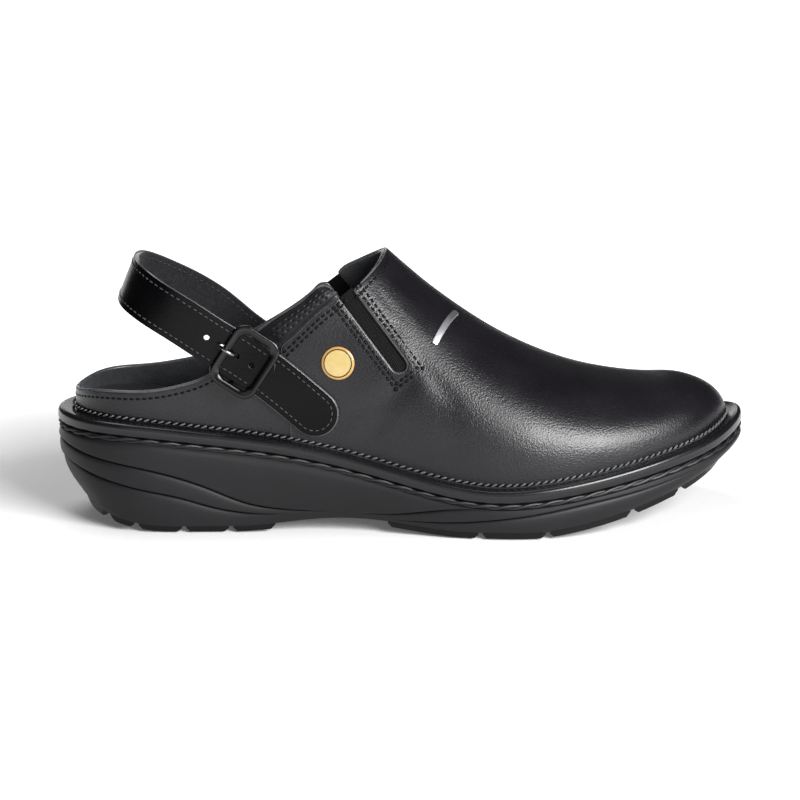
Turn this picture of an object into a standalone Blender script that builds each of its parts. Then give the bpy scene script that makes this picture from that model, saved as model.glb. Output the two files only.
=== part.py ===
"""Right-foot work clog with a buckled heel strap, standing empty on its sole.

+X points to the toe, +Y to the inner (medial) side, +Z up. The origin is under the middle of the sole, on the
floor. Every length is worked out from the driving sizes below: stations are shares of SOLE_LENGTH, sideways
places are shares of BALL_WIDTH, sole heights are shares of HEEL_HEIGHT and upper heights of INSTEP_HEIGHT.
"""

import math

import bmesh
import bpy
import numpy as np

# Driving sizes, in metres
SOLE_LENGTH = 0.292
BALL_WIDTH = 0.106
HEEL_HEIGHT = 0.0475
INSTEP_HEIGHT = 0.112
GAP = 0.0003

# Welt band and sole side
LEDGE_WIDTH = 0.0095
BAND_HEIGHT = 0.0055
BAND_ROUND = 0.0012
STITCH_GROOVE_DEPTH = 0.0018
STITCH_GROOVE_HEIGHT = 0.0024
SIDE_GROOVE_DEPTH = 0.0012
SIDE_GROOVE_HALF = 0.0010
SIDE_TUCK = 0.0085
SIDE_ROW_STEP = 0.00022

# Treads under the sole
TREAD_THICKNESS = 0.0026
TREAD_INSET = 0.0013
TREAD_EDGE = 0.0010
TREAD_SLOT_WIDTH = 0.0022
TREAD_SLOT_DEPTH = 0.0015
HEEL_ROCKER_RISE = 0.0125
WAIST_RISE = 0.0038
TOE_SPRING = 0.0247

# Upper, its lining and what is sewn on it
LINING_WALL = 0.0019
FRONT_PIECE_WALL = 0.0011
INSOLE_THICKNESS = 0.0048
INSOLE_INSET = 0.0006
INSOLE_CUP = 0.0074
PAD_THICKNESS = 0.0026
PAD_EDGE = 0.0012
PAD_FLAT_END = 0.25
GORE_THICKNESS = 0.0013
GORE_SLOT_WIDTH = 0.0074

# Heel strap, its anchor tab and the buckle
STRAP_WIDTH = 0.0190
STRAP_THICKNESS = 0.0022
ANCHOR_THICKNESS = 0.0018
HOLE_DIAMETER = 0.0025
HOLE_PITCH = 0.0073
BUCKLE_BAR = 0.0034
BUCKLE_THICKNESS = 0.0024
BUCKLE_LENGTH = 0.0215
PIN_DIAMETER = 0.0018
BUCKLE_CLEARANCE = 0.0009

# Badge and plain metal bar
BADGE_DIAMETER = 0.0143
BADGE_THICKNESS = 0.0012
BAR_WIDTH = 0.0028
BAR_THICKNESS = 0.0009

# How far behind the buckle's middle its prong comes up through the strap
PRONG_HOLE = BUCKLE_LENGTH / 2.0 - BUCKLE_BAR - HOLE_DIAMETER * 1.35

# Number of stations, arch steps and rows that the surfaces are made of
SOLE_STATIONS = 40
UPPER_STATIONS = 38
ARCH_STEPS = 26
REAR_STEP_ARCH_STEPS = 31
STRAP_STEPS = 44
STRAP_FINE = 400
STRAP_HOLES = 4
BAR_STEPS = 9
# Angle of the last that the fan of faces at the toe's tip covers
TOE_FAN = 0.17

# Plan outline of the sole: station, outer side and inner side, from the heel's tip to the toe's tip
OUTLINE = np.array([
    (0.000, 0.000, 0.000), (0.015, -0.151, 0.151), (0.050, -0.262, 0.262), (0.100, -0.323, 0.322),
    (0.170, -0.340, 0.335), (0.270, -0.345, 0.312), (0.380, -0.370, 0.298), (0.480, -0.415, 0.326),
    (0.560, -0.465, 0.392), (0.640, -0.500, 0.466), (0.700, -0.498, 0.494), (0.770, -0.468, 0.499),
    (0.840, -0.408, 0.478), (0.900, -0.325, 0.432), (0.945, -0.232, 0.366), (0.980, -0.104, 0.266),
    (1.000, 0.094, 0.094),
])

# Top of the welt: station, height
LEDGE_PROFILE = np.array([
    (0.000, 1.000), (0.090, 0.985), (0.200, 0.916), (0.290, 0.848), (0.377, 0.758), (0.462, 0.632),
    (0.538, 0.514), (0.610, 0.448), (0.685, 0.463), (0.753, 0.522), (0.822, 0.602), (0.890, 0.690),
    (0.949, 0.783), (1.000, 0.895),
])

# First and last station of each tread, and its cross slots
HEEL_TREAD = (0.036, 0.312)
HEEL_TREAD_SLOTS = (0.075, 0.116, 0.184, 0.251)
FOREFOOT_TREAD = (0.474, 0.985)
FOREFOOT_TREAD_SLOTS = (0.604, 0.699, 0.822, 0.894)

# Cup of the insole from its rim to its middle: share of the cup's width, share of the insole's thickness
INSOLE_PROFILE = ((0.216, 0.0), (0.0, 0.0), (0.0, 0.45), (0.135, 0.85), (0.378, 1.0), (1.0, 0.92))

# Flat spots of the tread: first and last station of the heel's and of the forefoot's
HEEL_FLAT = (0.165, 0.250)
FOREFOOT_FLAT = (0.585, 0.680)

# Two lines that flow along the sole's side: station, upper height, upper depth, lower height, lower depth
SIDE_LINES = np.array([
    (0.000, 0.750, 1.0, 0.600, 1.0), (0.060, 0.660, 1.0, 0.490, 1.0), (0.125, 0.583, 1.0, 0.390, 1.0),
    (0.180, 0.495, 1.0, 0.318, 1.0), (0.222, 0.400, 1.0, 0.240, 1.0), (0.267, 0.285, 1.0, 0.185, 0.9),
    (0.312, 0.225, 0.9, 0.165, 0.2), (0.370, 0.200, 0.3, 0.155, 0.0), (0.430, 0.190, 0.2, 0.150, 0.0),
    (0.490, 0.205, 0.8, 0.140, 0.2), (0.550, 0.262, 0.8, 0.145, 0.8), (0.620, 0.285, 0.0, 0.185, 1.0),
    (0.690, 0.310, 0.0, 0.245, 1.0), (0.747, 0.365, 0.0, 0.310, 1.0), (0.829, 0.455, 0.0, 0.395, 1.0),
    (0.910, 0.560, 0.0, 0.500, 0.6), (1.000, 0.690, 0.0, 0.620, 0.0),
])

# Share of SIDE_TUCK that the sole's bottom edge keeps: nearly none beside the foot, all of it at both tips
TUCK_ALONG = np.array([
    (0.000, 0.90), (0.020, 0.82), (0.060, 0.50), (0.110, 0.28), (0.170, 0.18), (0.280, 0.18), (0.380, 0.38),
    (0.480, 0.38), (0.560, 0.28), (0.660, 0.26), (0.800, 0.32), (0.900, 0.40), (0.960, 0.60), (1.000, 0.85),
])

# Pull-in of the sole's side below the welt: share of the way down, share of SIDE_TUCK
SIDE_TUCK_PROFILE = np.array([
    (0.00, 0.10), (0.20, 0.00), (0.45, 0.12), (0.65, 0.32), (0.82, 0.58), (1.00, 1.00),
])

# Ridge of the last: station along the last, height over the welt, sideways place
RIDGE = np.array([
    (0.000, 0.808, 0.000), (0.120, 0.845, 0.010), (0.250, 0.869, 0.020), (0.350, 0.857, 0.028),
    (0.420, 0.792, 0.034), (0.475, 0.714, 0.038), (0.520, 0.645, 0.042), (0.580, 0.562, 0.046),
    (0.643, 0.473, 0.052), (0.705, 0.386, 0.060), (0.765, 0.310, 0.068), (0.832, 0.243, 0.076),
    (0.885, 0.204, 0.082), (0.925, 0.183, 0.086), (0.955, 0.150, 0.089), (0.978, 0.108, 0.092),
    (1.000, 0.000, 0.094),
])

# Fullness of the last's sections: station, power of the width, power of the height, bulge over the feather
FULLNESS = np.array([
    (0.00, 0.90, 1.00, 0.000), (0.30, 0.86, 1.00, 0.010), (0.50, 0.86, 0.95, 0.022),
    (0.68, 0.90, 0.90, 0.026), (0.85, 0.90, 0.84, 0.020), (1.00, 0.92, 0.80, 0.006),
])

# Top edge of the upper seen from each side: station, height
TOPLINE = {
    "lateral": np.array([
        (-0.100, 0.470), (0.022, 0.487), (0.048, 0.508), (0.089, 0.519), (0.134, 0.523), (0.178, 0.542),
        (0.223, 0.583), (0.260, 0.660), (0.291, 0.745), (0.332, 0.820), (0.360, 0.868), (0.375, 0.902),
        (0.385, 0.913), (0.396, 0.904), (0.409, 0.872), (0.428, 0.893), (0.434, 0.906), (0.446, 0.934),
        (0.459, 0.964), (0.474, 1.002), (0.484, 1.030), (0.520, 1.200),
    ]),
    "medial": np.array([
        (-0.100, 0.470), (0.022, 0.487), (0.048, 0.508), (0.089, 0.519), (0.134, 0.523), (0.178, 0.540),
        (0.223, 0.570), (0.260, 0.622), (0.291, 0.672), (0.332, 0.738), (0.360, 0.790), (0.375, 0.826),
        (0.385, 0.846), (0.392, 0.846), (0.399, 0.858), (0.408, 0.884), (0.414, 0.904), (0.430, 0.930),
        (0.448, 0.954), (0.468, 0.984), (0.482, 1.012), (0.520, 1.200),
    ]),
}

# Edge of the outer front piece, from the feather up to its upper corner: station, height
FRONT_EDGE = {
    "lateral": np.array([
        (0.343, 0.150), (0.338, 0.450), (0.330, 0.640), (0.326, 0.688), (0.340, 0.722), (0.358, 0.767),
        (0.386, 0.830), (0.400, 0.858), (0.407, 0.880), (0.420, 1.100),
    ]),
    "medial": np.array([
        (0.343, 0.150), (0.338, 0.400), (0.330, 0.575), (0.326, 0.618), (0.340, 0.652), (0.358, 0.700),
        (0.386, 0.768), (0.394, 0.800), (0.398, 0.820), (0.411, 1.100),
    ]),
}

# Elastic gore slot: station and height of its mouth and of its round end
GORE_LINE = {
    "lateral": ((0.416, 0.885), (0.4985, 0.604)),
    "medial": ((0.402, 0.868), (0.4850, 0.590)),
}

# Free part of the heel strap's middle line: station, sideways place, height, lean of its width to the toe
STRAP_ROUTE = np.array([
    (0.226, -0.3085, 0.728, 0.545), (0.185, -0.3070, 0.800, 0.530), (0.147, -0.2840, 0.860, 0.490),
    (0.1210, -0.2160, 0.899, 0.430), (0.1090, -0.1120, 0.915, 0.385), (0.1060, 0.0000, 0.917, 0.375),
    (0.1090, 0.1120, 0.911, 0.385), (0.1210, 0.2160, 0.892, 0.430), (0.147, 0.2800, 0.854, 0.490),
    (0.185, 0.2960, 0.803, 0.530), (0.226, 0.2880, 0.736, 0.560),
])
# Places where the strap lies on the quarters: station, height
STRAP_ON_WALL = {
    "lateral": ((0.309, 0.585), (0.291, 0.618), (0.268, 0.658)),
    "medial": ((0.268, 0.650), (0.300, 0.590), (0.335, 0.520)),
}
# Middle line of the anchor tab, from the buckle's pin to its round end: station, height
ANCHOR_LINE = ((0.281, 0.640), (0.310, 0.583), (0.345, 0.510), (0.396, 0.395))

# Section of the buckle's frame: share of the way in from its outer edge, share of its thickness
BUCKLE_SECTION = (
    (0.0, 0.25), (0.08, 0.75), (0.35, 1.0), (0.7, 1.0), (1.0, 0.65), (1.0, 0.1), (0.85, 0.0), (0.15, 0.0),
)

# Places on the outer side of the upper: station, height
BUCKLE_PLACE = (0.2745, 0.652)
BADGE_PLACE = (0.405, 0.636)
# Ends of the metal bar on the last: share of its length, share of the way over the foot from the outer side
BAR_LINE = np.array([(0.541, 0.267), (0.574, 0.425)])

BODY_COLLECTION = "chef_clog"
CUTTER_COLLECTION = "chef_clog_cutters"


def clear_scene():
    """Removes every object, mesh and curve of the file."""
    for item in list(bpy.data.objects):
        bpy.data.objects.remove(item, do_unlink=True)
    for mesh in list(bpy.data.meshes):
        bpy.data.meshes.remove(mesh)


def collection_named(name):
    """Returns a new collection linked to the scene."""
    found = bpy.data.collections.new(name)
    bpy.context.scene.collection.children.link(found)
    return found


def material(name, rgb, roughness, metallic=0.0):
    """Returns a Principled material with a colour, a roughness and a metallic value."""
    made = bpy.data.materials.new(name)
    made.use_nodes = True
    shader = made.node_tree.nodes["Principled BSDF"]
    shader.inputs["Base Color"].default_value = (*rgb, 1.0)
    shader.inputs["Roughness"].default_value = roughness
    shader.inputs["Metallic"].default_value = metallic
    made.diffuse_color = (*rgb, 1.0)
    return made


def cubic_through(knots, values):
    """Returns a function of one number: the natural cubic spline through the values at the knots."""
    knots = np.asarray(knots, float)
    values = np.asarray(values, float)
    steps = np.diff(knots)
    count = len(knots)
    system = np.eye(count)
    right = np.zeros(count)
    for row in range(1, count - 1):
        before, after = steps[row - 1], steps[row]
        system[row, row - 1:row + 2] = before, 2.0 * (before + after), after
        slopes = (values[row + 1] - values[row]) / after - (values[row] - values[row - 1]) / before
        right[row] = 6.0 * slopes
    bends = np.linalg.solve(system, right)

    def at(place):
        place = np.asarray(place, float)
        cell = np.clip(np.searchsorted(knots, place) - 1, 0, count - 2)
        step = steps[cell]
        to_next = knots[cell + 1] - place
        done = place - knots[cell]
        curved = (bends[cell] * to_next ** 3 + bends[cell + 1] * done ** 3) / (6.0 * step)
        first = (values[cell] / step - bends[cell] * step / 6.0) * to_next
        last = (values[cell + 1] / step - bends[cell + 1] * step / 6.0) * done
        return curved + first + last

    return at


def turn_of(station):
    """Turns a share of a length, 0 to 1, into an angle 0 to pi, so that round ends are sampled evenly."""
    return np.arccos(np.clip(1.0 - 2.0 * np.asarray(station, float), -1.0, 1.0))


OUTLINE_LATERAL = cubic_through(turn_of(OUTLINE[:, 0]), OUTLINE[:, 1])
OUTLINE_MEDIAL = cubic_through(turn_of(OUTLINE[:, 0]), OUTLINE[:, 2])
LEDGE_SHARE = cubic_through(LEDGE_PROFILE[:, 0], LEDGE_PROFILE[:, 1])


def ledge_height(x):
    """Height of the welt's top over the floor at a place x along the sole, heel tip at 0."""
    return LEDGE_SHARE(x / SOLE_LENGTH) * HEEL_HEIGHT


def floor_height(x):
    """Height of the tread's underside: flat at heel and forefoot, rising at the heel, waist and toe."""
    share = np.asarray(x, float) / SOLE_LENGTH
    heel = np.clip((HEEL_FLAT[0] - share) / HEEL_FLAT[0], 0.0, 1.0) ** 2 * HEEL_ROCKER_RISE
    across = np.clip((share - HEEL_FLAT[1]) / (FOREFOOT_FLAT[0] - HEEL_FLAT[1]), 0.0, 1.0)
    waist = np.sin(math.pi * across) ** 2 * WAIST_RISE
    toe = np.clip((share - FOREFOOT_FLAT[1]) / (1.0 - FOREFOOT_FLAT[1]), 0.0, 1.0) ** 1.5 * TOE_SPRING
    return heel + waist + toe


def outline_side(inset, angles, side):
    """x and y of one side of the sole's outline, moved inwards along its normal by the inset."""
    share = OUTLINE_LATERAL if side == "lateral" else OUTLINE_MEDIAL
    fine = np.linspace(0.0, math.pi, 721)
    x = SOLE_LENGTH * (1.0 - np.cos(fine)) / 2.0
    y = share(fine) * BALL_WIDTH
    dx = np.gradient(x, fine, edge_order=2)
    dy = np.gradient(y, fine, edge_order=2)
    length = np.hypot(dx, dy)
    turn = 1.0 if side == "lateral" else -1.0
    inner_x = x - turn * dy / length * inset
    inner_y = y + turn * dx / length * inset
    return np.interp(angles, fine, inner_x), np.interp(angles, fine, inner_y)


def outline_ring(inset, stations):
    """Closed ring of (x, y): heel tip, outer side, toe tip and back along the inner side."""
    angles = np.linspace(0.0, math.pi, stations)
    outer = np.column_stack(outline_side(inset, angles, "lateral"))
    inner = np.column_stack(outline_side(inset, angles, "medial"))
    return np.vstack([outer, inner[-2:0:-1]])


def to_world(points):
    """Moves points from heel-tip coordinates to the part's frame, whose origin is under the middle."""
    moved = np.array(points, float)
    moved[..., 0] -= SOLE_LENGTH / 2.0
    return moved


def mesh_object(name, points, faces, collection, finish=None):
    """Makes an object from points in heel-tip coordinates and faces, with its normals facing out."""
    build = bmesh.new()
    verts = [build.verts.new(point) for point in to_world(points).tolist()]
    for face in faces:
        build.faces.new([verts[index] for index in face])
    bmesh.ops.remove_doubles(build, verts=build.verts, dist=1e-6)
    bmesh.ops.dissolve_degenerate(build, edges=build.edges, dist=1e-7)
    bmesh.ops.recalc_face_normals(build, faces=build.faces)
    mesh = bpy.data.meshes.new(name)
    build.to_mesh(mesh)
    build.free()
    made = bpy.data.objects.new(name, mesh)
    collection.objects.link(made)
    if finish is None:
        made.hide_render = True
        made.display_type = "WIRE"
    else:
        mesh.materials.append(finish)
        mesh.shade_smooth()
        mesh.set_sharp_from_angle(angle=math.radians(40.0))
    return made


def grid_faces(rows, columns, closed_columns=False, first=0):
    """Quads of a grid of rows x columns points that start at index first."""
    last = columns if closed_columns else columns - 1
    return [
        (
            first + row * columns + column,
            first + row * columns + (column + 1) % columns,
            first + (row + 1) * columns + (column + 1) % columns,
            first + (row + 1) * columns + column,
        )
        for row in range(rows - 1)
        for column in range(last)
    ]


def loft(name, rings, collection, finish=None):
    """Solid through closed rings of equal count, with a flat cap on the first and on the last."""
    rings = np.asarray(rings, float)
    rows, columns = rings.shape[:2]
    faces = grid_faces(rows, columns, closed_columns=True)
    faces.append(tuple(range(columns)))
    faces.append(tuple(range((rows - 1) * columns, rows * columns)))
    return mesh_object(name, rings.reshape(-1, 3), faces, collection, finish)


def ring_loft(name, rings, collection, finish=None):
    """Solid through rings round the foot, whose two caps are strips from the outer to the inner side."""
    rings = np.asarray(rings, float)
    rows, columns = rings.shape[:2]
    faces = grid_faces(rows, columns, closed_columns=True)
    for first in (0, (rows - 1) * columns):
        for step in range(columns // 2):
            near, far = step, step + 1
            other_near, other_far = (columns - near) % columns, columns - far
            corners = dict.fromkeys([near, far, other_far, other_near])
            faces.append(tuple(first + corner for corner in corners))
    return mesh_object(name, rings.reshape(-1, 3), faces, collection, finish)


def boolean(target, cutter, operation):
    """Adds an exact Boolean to the target."""
    modifier = target.modifiers.new(cutter.name, "BOOLEAN")
    modifier.operation = operation
    modifier.object = cutter
    modifier.solver = "EXACT"
    return modifier


def box(name, low, high, collection):
    """A cutter box from its low to its high corner, in heel-tip coordinates."""
    build = bmesh.new()
    bmesh.ops.create_cube(build, size=1.0)
    low, high = to_world(low), to_world(high)
    bmesh.ops.scale(build, vec=(high - low).tolist(), verts=build.verts)
    bmesh.ops.translate(build, vec=((low + high) / 2.0).tolist(), verts=build.verts)
    mesh = bpy.data.meshes.new(name)
    build.to_mesh(mesh)
    build.free()
    made = bpy.data.objects.new(name, mesh)
    made.hide_render = True
    made.display_type = "WIRE"
    collection.objects.link(made)
    return made


def tuck_depth(x):
    """How far the sole's bottom edge lies inside its outline at x."""
    return np.interp(np.asarray(x, float) / SOLE_LENGTH, TUCK_ALONG[:, 0], TUCK_ALONG[:, 1]) * SIDE_TUCK


def side_rows(x):
    """Heights and insets of the sole's side from the stitch groove down, one row per key of the profile."""
    share = x / SOLE_LENGTH
    top = ledge_height(x) - BAND_HEIGHT - STITCH_GROOVE_HEIGHT
    bottom = floor_height(x) + TREAD_THICKNESS + GAP
    upper, upper_depth, lower, lower_depth = (
        np.interp(share, SIDE_LINES[:, 0], SIDE_LINES[:, column]) for column in range(1, 5)
    )
    upper = upper * HEEL_HEIGHT
    lower = lower * HEEL_HEIGHT
    heights = [
        top, (top + upper) / 2.0,
        upper + SIDE_GROOVE_HALF, upper, upper - SIDE_GROOVE_HALF, (upper + lower) / 2.0,
        lower + SIDE_GROOVE_HALF, lower, lower - SIDE_GROOVE_HALF, (lower * 0.55 + bottom * 0.45),
        lower * 0.2 + bottom * 0.8, bottom,
    ]
    depths = [0.0, 0.0, 0.0, upper_depth, 0.0, 0.0, 0.0, lower_depth, 0.0, 0.0, 0.0, 0.0]
    for row in range(len(heights) - 2, 0, -1):
        heights[row] = np.maximum(heights[row], heights[row + 1] + SIDE_ROW_STEP)
    for row in range(1, len(heights)):
        heights[row] = np.minimum(heights[row], heights[row - 1] - SIDE_ROW_STEP)
    down = [(top - height) / (top - bottom) for height in heights]
    tucks = [np.interp(way, SIDE_TUCK_PROFILE[:, 0], SIDE_TUCK_PROFILE[:, 1]) for way in down]
    deepest = tuck_depth(x)
    insets = [tuck * deepest + SIDE_GROOVE_DEPTH * depth for tuck, depth in zip(tucks, depths)]
    return heights, insets


def moved_ring(inset, height, stations=SOLE_STATIONS):
    """Ring of 3-D points: inset and height may each be a number or one value per station pair."""
    plain = outline_ring(0.0, stations)
    deep = outline_ring(SIDE_TUCK, stations)
    inset = np.broadcast_to(inset, len(plain))[:, None]
    flat = plain + (deep - plain) * inset / SIDE_TUCK
    return np.column_stack([flat, np.broadcast_to(height, len(plain))])


def welt_ring(inset, drop):
    """Ring on the welt's top surface, or a drop under it."""
    flat = outline_ring(inset, SOLE_STATIONS)
    return np.column_stack([flat, ledge_height(flat[:, 0]) - drop])


def make_sole(collection, finish):
    """Sole with its welt band, stitch groove, two flowing side lines, waist and toe spring."""
    x = outline_ring(0.0, SOLE_STATIONS)[:, 0]
    lip = ledge_height(x) - BAND_HEIGHT
    rings = [
        welt_ring(LEDGE_WIDTH * 1.4, 0.0),
        welt_ring(LEDGE_WIDTH * 0.8, 0.0),
        welt_ring(BAND_ROUND * 1.6, 0.0),
        welt_ring(BAND_ROUND * 0.5, BAND_ROUND * 0.5),
        welt_ring(0.0, BAND_ROUND * 1.5),
        moved_ring(0.0, lip + BAND_ROUND * 0.8),
        moved_ring(BAND_ROUND * 0.5, lip),
        moved_ring(STITCH_GROOVE_DEPTH, lip - STITCH_GROOVE_HEIGHT * 0.25),
        moved_ring(STITCH_GROOVE_DEPTH, lip - STITCH_GROOVE_HEIGHT * 0.7),
    ]
    heights, insets = side_rows(x)
    rings += [moved_ring(inset, height) for height, inset in zip(heights, insets)]
    return ring_loft("sole", rings, collection, finish)


def make_tread(name, first, last, slots, collection, cutters, finish):
    """Tread from one station to another, cut by cross slots on its underside."""
    rings = []
    stations = SOLE_STATIONS + 8
    plain_x = outline_ring(0.0, stations)[:, 0]
    for inset, lift in ((TREAD_INSET, 1.0), (TREAD_INSET, 0.3), (TREAD_INSET + TREAD_EDGE, 0.0)):
        ring = moved_ring(tuck_depth(plain_x) + inset, 0.0, stations)
        ring[:, 2] = floor_height(ring[:, 0]) + TREAD_THICKNESS * lift
        rings.append(ring)
    tread = ring_loft(name, rings, collection, finish)
    reach = BALL_WIDTH
    keep = box(
        name + "_range", (first * SOLE_LENGTH, -reach, -reach), (last * SOLE_LENGTH, reach, reach), cutters
    )
    boolean(tread, keep, "INTERSECT")
    for number, slot in enumerate(slots):
        middle = slot * SOLE_LENGTH
        low = float(floor_height(middle))
        cutter = box(
            f"{name}_slot_{number}",
            (middle - TREAD_SLOT_WIDTH / 2.0, -reach, low - reach / 10.0),
            (middle + TREAD_SLOT_WIDTH / 2.0, reach, low + TREAD_SLOT_DEPTH),
            cutters,
        )
        boolean(tread, cutter, "DIFFERENCE")
    return tread


FEATHER_FINE = np.linspace(0.0, math.pi, 361)
FEATHER = {side: outline_side(LEDGE_WIDTH, FEATHER_FINE, side) for side in ("lateral", "medial")}
LAST_START = float(FEATHER["lateral"][0][0])
LAST_END = float(FEATHER["lateral"][0][-1])


def last_turn(x):
    """Angle of a place x along the last, 0 at its heel tip and pi at its toe tip."""
    return turn_of((np.asarray(x, float) - LAST_START) / (LAST_END - LAST_START))


FEATHER_Y = {
    side: cubic_through(last_turn(FEATHER[side][0][::12]), FEATHER[side][1][::12]) for side in FEATHER
}
RIDGE_TURN = turn_of(RIDGE[:, 0])
RIDGE_HEIGHT = cubic_through(RIDGE_TURN, RIDGE[:, 1])
RIDGE_SIDE = cubic_through(RIDGE_TURN, RIDGE[:, 2])


def last_point(turn, arch):
    """Point of the last: turn 0 to pi from heel to toe, arch 0 to pi from the outer to the inner feather.

    Each section is a superellipse from the feather line over the ridge: the width falls with a power of
    cos(arch) and the height grows with a power of sin(arch), plus a small bulge over the feather.
    """
    turn, arch = np.broadcast_arrays(np.asarray(turn, float), np.asarray(arch, float))
    share = (1.0 - np.cos(turn)) / 2.0
    x = LAST_START + (LAST_END - LAST_START) * share
    width_power, height_power, bulge = (
        np.interp(share, FULLNESS[:, 0], FULLNESS[:, column]) for column in range(1, 4)
    )
    base = ledge_height(x) + GAP
    rise = RIDGE_HEIGHT(turn) * INSTEP_HEIGHT
    ridge = RIDGE_SIDE(turn) * BALL_WIDTH
    lateral, medial = FEATHER_Y["lateral"](turn), FEATHER_Y["medial"](turn)
    foot = np.where(arch < math.pi / 2.0, lateral, medial)
    across = np.abs(np.cos(arch)) ** width_power
    up = np.clip(np.sin(arch), 0.0, 1.0)
    swell = np.sin(2.0 * np.minimum(arch, math.pi - arch)) * bulge * np.sin(turn) * BALL_WIDTH
    y = ridge + (foot - ridge) * across + np.sign(foot - ridge) * swell
    return np.stack([x, y, base + rise * up ** height_power], axis=-1)


def last_normal(turn, arch):
    """Unit normal of the last, straight back at its heel tip and straight forward at its toe tip."""
    turn, arch = np.broadcast_arrays(np.asarray(turn, float), np.asarray(arch, float))
    step = 2e-3
    inside = np.clip(turn, step, math.pi - step)
    arch = np.clip(arch, step, math.pi - step)
    along = last_point(inside + step, arch) - last_point(inside - step, arch)
    over = last_point(inside, arch + step) - last_point(inside, arch - step)
    normal = np.cross(along, over)
    normal[..., 2] = np.maximum(normal[..., 2], 0.0)
    normal /= np.maximum(np.linalg.norm(normal, axis=-1, keepdims=True), 1e-12)
    normal[turn < step] = (-1.0, 0.0, 0.0)
    normal[turn > math.pi - step] = (1.0, 0.0, 0.0)
    return normal


def skin_point(turn, arch, offset):
    """Last point moved out by the offset, with the feather edge kept on the welt, which slopes."""
    start = last_point(turn, arch)
    moved = start + last_normal(turn, arch) * np.asarray(offset, float)[..., None]
    slope = ledge_height(moved[..., 0]) - ledge_height(start[..., 0])
    at_tip = np.broadcast_to(turn, slope.shape) > math.pi - 1e-6
    moved[..., 2] += slope * np.where(at_tip, 1.0, np.cos(arch) ** 2)
    return moved


def wall_point(side, x, z, offset):
    """Point of the upper's wall seen from one side at x and z, at an offset outside the last."""
    x, z, offset = np.broadcast_arrays(
        np.asarray(x, float), np.asarray(z, float), np.asarray(offset, float)
    )
    guess_x, guess_z = x.copy(), z.copy()
    for _ in range(6):
        turn = last_turn(guess_x)
        share = (1.0 - np.cos(turn)) / 2.0
        power = np.interp(share, FULLNESS[:, 0], FULLNESS[:, 2])
        base = ledge_height(guess_x) + GAP
        rise = RIDGE_HEIGHT(turn) * INSTEP_HEIGHT
        up = np.clip((guess_z - base) / rise, 0.0, 0.9999) ** (1.0 / power)
        arch = np.arcsin(up)
        arch = arch if side == "lateral" else math.pi - arch
        found = skin_point(turn, arch, offset)
        guess_x = guess_x + x - found[..., 0]
        guess_z = guess_z + z - found[..., 2]
    return found


def shell(name, inner, outer, collection, finish=None, skirt=0.0, steps=ARCH_STEPS):
    """Closed wall between two offsets of the last, open underneath; a skirt lets its lower edge down."""
    turns = np.append(np.linspace(0.0, math.pi - TOE_FAN, UPPER_STATIONS - 1), math.pi)[:, None]
    arches = np.linspace(0.0, math.pi, steps)[None, :]
    layers = [skin_point(turns, arches, offset) for offset in (inner, outer)]
    for layer in layers:
        layer[:, (0, -1), 2] -= skirt
    count = UPPER_STATIONS * steps
    faces = grid_faces(UPPER_STATIONS, steps)
    faces += grid_faces(UPPER_STATIONS, steps, first=count)
    for edge in (0, steps - 1):
        for row in range(UPPER_STATIONS - 1):
            low, high = row * steps + edge, (row + 1) * steps + edge
            faces.append((low, high, high + count, low + count))
    points = np.concatenate([layer.reshape(-1, 3) for layer in layers])
    return mesh_object(name, points, faces, collection, finish)


def side_scale(table):
    """Table of stations and heights in metres."""
    return np.asarray(table, float) * (SOLE_LENGTH, INSTEP_HEIGHT)


def side_loft(name, lateral, medial, collection):
    """Cutter across the shoe: one side-view polygon on the outer side, another on the inner side."""
    half = BALL_WIDTH * 0.22
    reach = BALL_WIDTH
    rings = []
    for y, polygon in ((-reach, lateral), (-half, lateral), (half, medial), (reach, medial)):
        rings.append(np.column_stack([polygon[:, 0], np.full(len(polygon), y), polygon[:, 1]]))
    return loft(name, rings, collection)


def travelled(points):
    """Length along a line of points up to each of them."""
    return np.concatenate([[0.0], np.cumsum(np.linalg.norm(np.diff(points, axis=0), axis=1))])


def smooth_line(points, count):
    """Points along the cubic curve through some points in the plane or in space, evenly by length."""
    points = np.asarray(points, float)
    lengths = travelled(points)
    at = np.linspace(0.0, lengths[-1], count)
    return np.column_stack([cubic_through(lengths, points[:, axis])(at) for axis in range(points.shape[1])])


def topline_cutter(collection):
    """Everything above the upper's top edge."""
    ceiling = INSTEP_HEIGHT * 2.0
    polygons = []
    for side in ("lateral", "medial"):
        line = side_scale(TOPLINE[side])
        polygons.append(np.vstack([line, [(line[-1, 0], ceiling), (line[0, 0], ceiling)]]))
    return side_loft("topline_cutter", *polygons, collection)


def behind_front_piece(collection):
    """Everything behind and above the rear edge of the outer front piece."""
    polygons = []
    behind, ceiling = -SOLE_LENGTH * 0.1, INSTEP_HEIGHT * 2.0
    for side in ("lateral", "medial"):
        line = side_scale(FRONT_EDGE[side])
        polygons.append(np.vstack([line, [(line[-1, 0], ceiling), (behind, ceiling), (behind, line[0, 1])]]))
    return side_loft("behind_front_piece", *polygons, collection)


def gore_frame(side):
    """Mouth point, unit direction to the round end, unit direction across and length of a gore slot."""
    mouth, end = (side_scale(point) for point in GORE_LINE[side])
    along = end - mouth
    length = float(np.linalg.norm(along))
    along /= length
    return mouth, along, np.array([-along[1], along[0]]), length


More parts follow.
